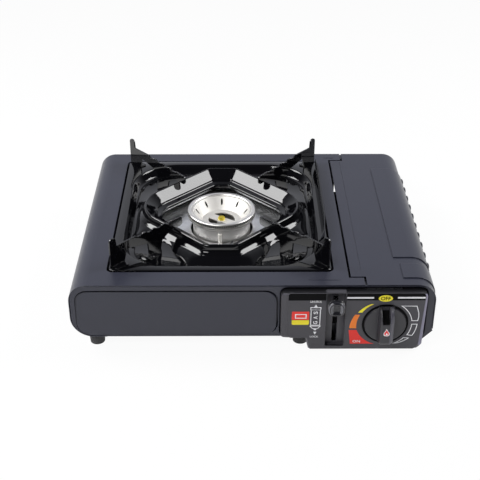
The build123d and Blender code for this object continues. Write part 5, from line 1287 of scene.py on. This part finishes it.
@dataclass
class BurnerDetails:
    """Turned head ring with its row of flame ports, and the slanting drillings in the bowl's wall; the dark
    inside the ports and the drillings is painted shade.
    """

    section: tuple[Point2, ...] = (         # radius and height round the head ring
        (31.0, 74.4), (31.7, 75.2), (33.2, 75.5), (34.7, 75.3), (35.3, 74.7), (35.3, 73.9), (34.3, 73.7),
        (34.3, 71.0), (35.2, 70.8), (35.3, 69.2), (34.7, 68.0), (31.0, 67.9))
    sides: int = 96                         # straight pieces round a turned form
    ports: int = 96
    port_radii: Point2 = (34.45, 33.65)     # front and back of the painted shade behind the ports
    port_z: Point2 = (71.0, 73.7)
    bar: Point3 = (34.7, 0.9, 1.15)         # bar between two ports: distance from the axis, depth and width
    bar_sink: float = 0.4                   # how much of its height is in the metal
    holes: int = 9
    first: float = 10.0                     # angle of the first drilling
    hole_radii: Point2 = (23.6, 27.6)       # distance of a drilling's two ends from the axis
    hole_z: Point2 = (67.0, 71.95)
    half: float = 0.95
    lifts: Point2 = (0.12, -0.5)            # its front and its back, above the bowl's wall
    steps: int = 8

    def build(self) -> None:
        """Turn the ring and make the ports and the drillings."""
        head = self.turn("turned_head", self.section, Surface.RING)
        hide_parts("burner_head")
        self.bars()
        (front, back), (low, high) = self.port_radii, self.port_z
        # painted shade: a dark band behind the flame ports
        self.turn("port_depths", [(front, low), (front, high), (back, high), (back, low)], Surface.PORT_SHADE)
        self.drillings()

    def turn(self, name: str, section: Sequence[Point2], surface: Surface) -> bpy.types.Object:
        """Turn a ring about the burner's axis.

        Args:
            name: The piece's name.
            section: Radius and height of its corners, in order.
            surface: Its finish.

        Returns:
            The new object.
        """
        rows = [[at(x, y, z) for x, y in Outline.ring(BURNER_AXIS, radius, self.sides)]
                for radius, z in section]
        return Maker.piece(name, Maker.loft(rows, ring=True), surface, Body.CASING, "burner_aluminium")

    def bars(self) -> None:
        """Bars that stand between the flame ports."""
        build = bmesh.new()
        (low, high), (radius, depth, width) = self.port_z, self.bar
        for i in range(self.ports):
            made = bmesh.ops.create_cube(build, size=1.0)
            turn = Matrix.Rotation(math.tau * i / self.ports, 3, "Z")
            for vertex in made["verts"]:
                point = turn @ Vector((radius + vertex.co.x * depth, vertex.co.y * width, 0))
                vertex.co = at(BURNER_AXIS[0] + point.x, BURNER_AXIS[1] + point.y,
                               (low + high) / 2 + vertex.co.z * (high - low + self.bar_sink))
        Maker.piece("port_bars", build, Surface.RING, Body.CASING, "burner_aluminium")

    def drillings(self) -> None:
        """Dark lens-shaped slots on the bowl's wall: painted shade that stands for the drilled holes."""
        build = bmesh.new()
        (near, far), (low, high), (front, back) = self.hole_radii, self.hole_z, self.lifts
        for i in range(self.holes):
            turn = math.radians(self.first + 360 / self.holes * i)
            out, side = Vector((math.cos(turn), math.sin(turn))), Vector((-math.sin(turn), math.cos(turn)))
            axis, rows = Vector(BURNER_AXIS), []
            for share in (k / self.steps for k in range(self.steps + 1)):
                away, height = near + (far - near) * share, low + (high - low) * share
                half = self.half * math.sin(math.pi * (0.06 + 0.88 * share)) ** 0.5
                section = ((front, -half), (front, half), (back, half), (back, -half))
                rows.append([at(*(axis + out * (away - lift * 0.5) + side * way), height + lift)
                             for lift, way in section])
            Maker.loft(rows, caps=True, build=build)
        Maker.piece("bowl_drillings", build, Surface.PORT_SHADE, Body.CASING, "burner_aluminium")


@dataclass
class LidHoods:
    """Upper ends of the lid's louvre hoods, where they run out into its shoulder."""

    count: int = 10
    first_y: float = -83.0
    pitch: float = 19.6
    middle_x: float = 172.3
    middle_z: float = 56.5
    size: Point3 = (2.4, 3.4, 5.2)          # half sizes of a hood

    def build(self) -> None:
        """Press the hoods."""
        build = bmesh.new()
        for i in range(self.count):
            made = bmesh.ops.create_icosphere(build, subdivisions=3, radius=1.0)
            for vertex in made["verts"]:
                x, y, z = (component * size for component, size in zip(vertex.co, self.size))
                vertex.co = at(self.middle_x + x, self.first_y + self.pitch * i + y, self.middle_z + z)
        Maker.piece("lid_hoods", build, Surface.BODY, Body.LID, "painted_steel", smooth=True)


# ---------------------------------------------------------------- knob and thumb piece
@dataclass
class TurnKnob:
    """Knob of the valve: a disc with a black ring behind it that paints the shade of the gap round it, and a
    grip with a scoop at its upper end; the scoop's bottom is painted black for shade and the grip's right
    side paler for a highlight.
    """

    disc: tuple[Point2, ...] = (                        # radius and place of the disc's rings
        (19.7, -143.2), (19.7, -146.2), (19.3, -146.8), (18.5, -147.0))
    half: float = 5.6                                   # half width of the grip's front
    foot: float = 7.6                                   # and of its foot
    foot_y: float = -146.9
    scoop: tuple[float, ...] = (-4.6, -4.2, 2.2, 2.8)   # tops and feet of the scoop's two sides
    left_edge: Point2 = (0.5, 0.9)                      # half width and depth of the grip's left chamfer
    right_edge: Point3 = (1.6, 1.0, 2.4)                # inset, reach and depth of its right one
    rows: tuple[Point3, ...] = (                        # height, front of the grip, foot of the scoop
        (54.2, -147.2, -147.1), (53.2, -150.6, -147.4), (51.2, -154.0, -148.2), (48.4, -156.6, -150.4),
        (45.4, -158.0, -153.6), (43.0, -158.6, -156.9), (41.6, -158.7, -158.4), (40.6, -158.7, -158.7),
        (30.0, -158.7, -158.7), (21.4, -158.7, -158.7), (19.6, -158.3, -158.3), (18.2, -156.9, -156.9),
        (17.2, -153.4, -153.4), (16.4, -147.1, -147.1))
    dark: Box4 = (-4.3, 2.3, 41.6, 50.0)                # painted shade: black ink on the bottom of the scoop
    lit_side: Point2 = (3.0, -147.2)                        # left end and back of the side with a painted highlight, paler than the rest
    # radius and place of the black ring behind the disc, painted shade for the gap round the knob
    shade_ring: float = 21.8
    shade_ring_y: Point2 = (-145.1, -143.2)
    front_y: float = -158.7
    flames: tuple[tuple[str, Point3, Surface], ...] = (         # offset from the axis with its size, and ink
        ("flame_white", (-0.2, -0.6, 1.0), Surface.INK_WHITE),
        ("flame_red", (-0.2, -0.7, 0.76), Surface.INK_RED),
        ("flame_eye", (-0.1, -2.1, 0.3), Surface.INK_WHITE))

    def section(self, front: float, bottom: float) -> list[Point2]:
        """Section of the grip at one height, across and to the back.

        Args:
            front: Its front.
            bottom: Bottom of the scoop.

        Returns:
            Its corners.
        """
        half, (a, b, c, d) = self.half, self.scoop
        (cut, deep), (inset, reach, fall) = self.left_edge, self.right_edge
        return [(-self.foot, self.foot_y), (-half - cut, front + deep), (-half + cut, front), (a, front),
                (b, bottom), (c, bottom), (d, front), (half - inset, front), (half + reach, front + fall),
                (self.foot, self.foot_y)]

    def build(self) -> None:
        """Mould the knob and print the flame on it."""
        x, z = KNOB_AXIS
        rings = [[at(px, y, pz) for px, pz in Outline.ring(KNOB_AXIS, radius)] for radius, y in self.disc]
        grip = [[at(x + px, py, height) for px, py in self.section(front, bottom)]
                for height, front, bottom in self.rows]
        build = Maker.loft(grip, caps=True, build=Maker.loft(rings, caps=True))
        knob = Maker.piece("moulded_knob", build, Surface.KNOB, Body.VALVE, "knob_plastic")
        for surface in (Surface.INK_BLACK_AND_SHADE, Surface.LIT_ABS):
            knob.data.materials.append(surface.material())
        # painted shade: the scoop's bottom in black ink; painted highlight: the grip's right side in a paler
        # plastic
        left, right, low, high = self.dark
        low, high = at(x + left, 0, low), at(x + right, 0, high)
        lit_side = at(x + self.lit_side[0], self.lit_side[1], 0)
        for polygon in knob.data.polygons:
            middle = polygon.center
            if low.z < middle.z < high.z and low.x < middle.x < high.x:
                polygon.material_index = 1
            elif middle.x > lit_side.x and middle.y < lit_side.y:
                polygon.material_index = 2
        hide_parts("control_knob")
        # black ring behind the disc: painted shade for the gap round the knob
        Sheet.plate("knob_shade_ring", [Outline.ring(KNOB_AXIS, self.shade_ring)], self.shade_ring_y, 0.1, Surface.INK_BLACK_AND_SHADE,
                    Body.VALVE, "black_plastic")
        ink = Print(self.front_y, Body.VALVE, "black_plastic")
        for layer, (name, (dx, dz, size), surface) in enumerate(self.flames, 1):
            ink.fill(name, [self.flame(x + dx, z + dz, size)], surface, layer)

    @staticmethod
    def flame(x: float, z: float, size: float) -> list[Point2]:
        """Outline of a small flame about a point, 5.8 mm wide and 8.6 mm high at size 1."""
        shape = [(0.0, -4.3), (1.6, -4.1), (2.6, -3.2), (2.9, -1.9), (2.6, -0.4), (1.9, 0.8), (1.4, 0.2),
                 (1.2, 1.8), (0.3, 3.2), (-0.9, 4.3), (-0.8, 2.8), (-1.5, 1.5), (-2.4, 0.2), (-2.9, -1.4),
                 (-2.7, -3.0), (-1.7, -4.0)]
        return [(x + px * size, z + pz * size) for px, pz in shape]


@dataclass
class ThumbPiece:
    """Thumb piece of the lever: a soft-cornered button, dished across for the thumb."""

    span_x: Point2 = (70.3, 85.9)
    span_z: Point2 = (47.4, 62.3)
    corner: Point2 = (6.2, 0.5)                         # largest and smallest rounding of its corners
    upright: float = 0.9                                # inset above and below, over that at the sides
    rings: tuple[Point2, ...] = (                       # inset of each ring and its place to the back
        (1.2, -146.6), (0.0, -148.2), (0.0, -151.8), (0.35, -153.0), (1.1, -153.7), (2.0, -153.8),
        (3.0, -153.2), (4.4, -152.3), (6.2, -151.8))

    def build(self) -> None:
        """Mould it."""
        (x0, x1), (z0, z1) = self.span_x, self.span_z
        rows = []
        for inset, y in self.rings:
            rise = inset * self.upright
            outline = Outline.box(x0 + inset, x1 - inset, z0 + rise, z1 - rise,
                                  max(self.corner[0] - inset, self.corner[1]))
            rows.append([at(x, y, z) for x, z in outline])
        piece = Maker.piece("moulded_thumb_piece", Maker.loft(rows, caps=True), Surface.THUMB, Body.LEVER,
                            "knob_plastic", smooth=True)
        # painted highlight: a paler plastic on the left and right rims
        piece.data.materials.append(Surface.RIM_HIGHLIGHT.material())
        for polygon in piece.data.polygons:
            if abs(polygon.normal.x) > 0.3 and polygon.normal.y < -0.2:
                polygon.material_index = 1
        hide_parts("lever_knob")


# ---------------------------------------------------------------- studio
@dataclass
class Lamp:
    """A soft rectangular lamp.

    Attributes:
        name: Its name.
        place: Where it hangs, in metres.
        aim: The point that it faces.
        size: Its width and height in metres.
        radiance: Brightness of its face.
    """

    name: str
    place: Point3
    aim: Point3
    size: Point2
    radiance: float

    def build(self) -> None:
        """Hang the lamp."""
        lamp = bpy.data.lights.new(self.name, "AREA")
        lamp.shape, lamp.size, lamp.size_y = "RECTANGLE", self.size[0], self.size[1]
        lamp.energy = self.radiance * self.size[0] * self.size[1] * math.pi
        holder = bpy.data.objects.new(self.name, lamp)
        bpy.context.scene.collection.objects.link(holder)
        holder.location = self.place
        holder.rotation_euler = (Vector(self.aim) - Vector(self.place)).to_track_quat("-Z", "Y").to_euler()


@dataclass
class Studio:
    """Pale floor, a room that is pale behind the stove, soft lamps and the camera."""

    floor_half: float = 9.0
    camera_place: Point3 = (-0.01596, -0.89182, 0.58384)
    camera_tilt: float = 58.844
    camera_turn: float = -0.24
    lens: float = 74.34
    fibre: float = 40.0                 # millimetres between changes of the paper's tone
    glow: float = 0.94                  # share of the floor that is plain white to the eye
    behind: Point2 = (0.2, 0.85)        # directions to the back between which the room turns pale
    lamps: tuple[Lamp, ...] = (
        Lamp("left_softbox", (-0.82, 0.16, 0.77), (0.0, 0.0, 0.06), (0.46, 0.5), 9.5),
        Lamp("right_softbox", (0.80, 0.16, 0.77), (0.0, 0.0, 0.06), (0.46, 0.5), 9.0),
        Lamp("front_softbox", (-0.85, -1.1, 1.35), (0.0, 0.0, 0.05), (1.1, 0.5), 11.0),
    )

    def build(self) -> None:
        """Set up the whole studio."""
        self.floor()
        self.room()
        for lamp in self.lamps:
            lamp.build()
        self.camera()
        bpy.context.scene.view_settings.view_transform = "Standard"

    def floor(self) -> None:
        """White floor that still takes the stove's soft shadow."""
        build = bmesh.new()
        bmesh.ops.create_grid(build, x_segments=8, y_segments=8, size=self.floor_half)
        mesh = Maker.mesh("floor", build)
        floor = bpy.data.objects.new("floor", mesh)
        bpy.context.scene.collection.objects.link(floor)
        material = bpy.data.materials.new("white_paper")
        material.use_nodes = True
        tree = material.node_tree
        tree.nodes.clear()
        place = add_node(tree, "TexCoord").outputs["Object"]
        fibre = add_node(tree, "TexNoise", {"Vector": place, "Scale": per_metre(self.fibre)}).outputs["Fac"]
        tone = add_node(tree, "Mix", {"Factor": fibre, 6: linear("#f4f4f4"), 7: linear("#f8f8f8")},
                        data_type="RGBA").outputs[2]
        paper = add_node(tree, "BsdfDiffuse", {"Color": tone})
        glow = add_node(tree, "Emission", {"Color": linear("#ffffff"), "Strength": 1.0})
        path = add_node(tree, "LightPath").outputs
        seen = path["Is Camera Ray"]
        for kind in ("Is Glossy Ray", "Is Transmission Ray"):
            seen = add_node(tree, "Math", {0: seen, 1: path[kind]}, operation="MAXIMUM").outputs[0]
        share = add_node(tree, "Math", {0: seen, 1: self.glow}, operation="MULTIPLY")
        mixed = add_node(tree, "MixShader", {0: share.outputs[0], 1: paper.outputs[0], 2: glow.outputs[0]})
        add_node(tree, "OutputMaterial", {"Surface": mixed.outputs[0]})
        mesh.materials.append(material)

    def room(self) -> None:
        """Room light: pale behind the stove, dark overhead and in front of it."""
        world = bpy.data.worlds.new("room")
        bpy.context.scene.world = world
        world.use_nodes = True
        tree = world.node_tree
        tree.nodes.clear()
        direction = add_node(tree, "TexCoord").outputs["Generated"]
        back = add_node(tree, "SeparateXYZ", {0: direction}).outputs["Y"]
        low, high = self.behind
        pale = add_node(tree, "MapRange", {"Value": back, "From Min": low, "From Max": high},
                        interpolation_type="SMOOTHSTEP").outputs["Result"]
        tone = add_node(tree, "Mix", {"Factor": pale, 6: linear("#343438"), 7: linear("#ccced6")},
                        data_type="RGBA").outputs[2]
        light = add_node(tree, "Background", {"Color": tone, "Strength": 1.0})
        add_node(tree, "OutputWorld", {"Surface": light.outputs[0]})

    def camera(self) -> None:
        """Camera in front of the stove, looking down on it."""
        lens = bpy.data.cameras.new("camera")
        lens.lens, lens.sensor_width = self.lens, 36.0
        lens.clip_start, lens.clip_end = 0.01, 50.0
        camera = bpy.data.objects.new("camera", lens)
        bpy.context.scene.collection.objects.link(camera)
        camera.location = self.camera_place
        camera.rotation_euler = (math.radians(self.camera_tilt), 0.0, math.radians(self.camera_turn))
        bpy.context.scene.camera = camera


# ---------------------------------------------------------------- stove
class Stove:
    """The whole stove: its solids' finishes and the pieces added to them."""

    def __init__(self) -> None:
        """Collect the added parts."""
        self.parts = [EnamelledPan(), BurnerTray(), BurnerDetails(), PressedFront(), ControlPanel(),
                      TurnKnob(), ThumbPiece(), LidHoods(), PanelPrint(), PressedMarks()]

    def dress_solids(self) -> None:
        """Give every solid its finish; what has no other one is zinc-plated."""
        chosen = {node: surface for surface, nodes in NODE_SURFACES.items() for node in nodes}
        for name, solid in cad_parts.items():
            surface = chosen.get(name, Surface.ZINC)
            if not solid.material_slots:
                solid.data.materials.append(surface.material())
            for slot in solid.material_slots:
                slot.material = surface.material()

    def build(self) -> None:
        """Dress the solids and build the added parts."""
        self.dress_solids()
        for part in self.parts:
            part.build()


def main() -> None:
    """Build the stove and its studio."""
    logging.basicConfig(level=logging.INFO, format="%(name)s: %(message)s")
    Stove().build()
    Studio().build()


if __name__ == "__main__":
    main()
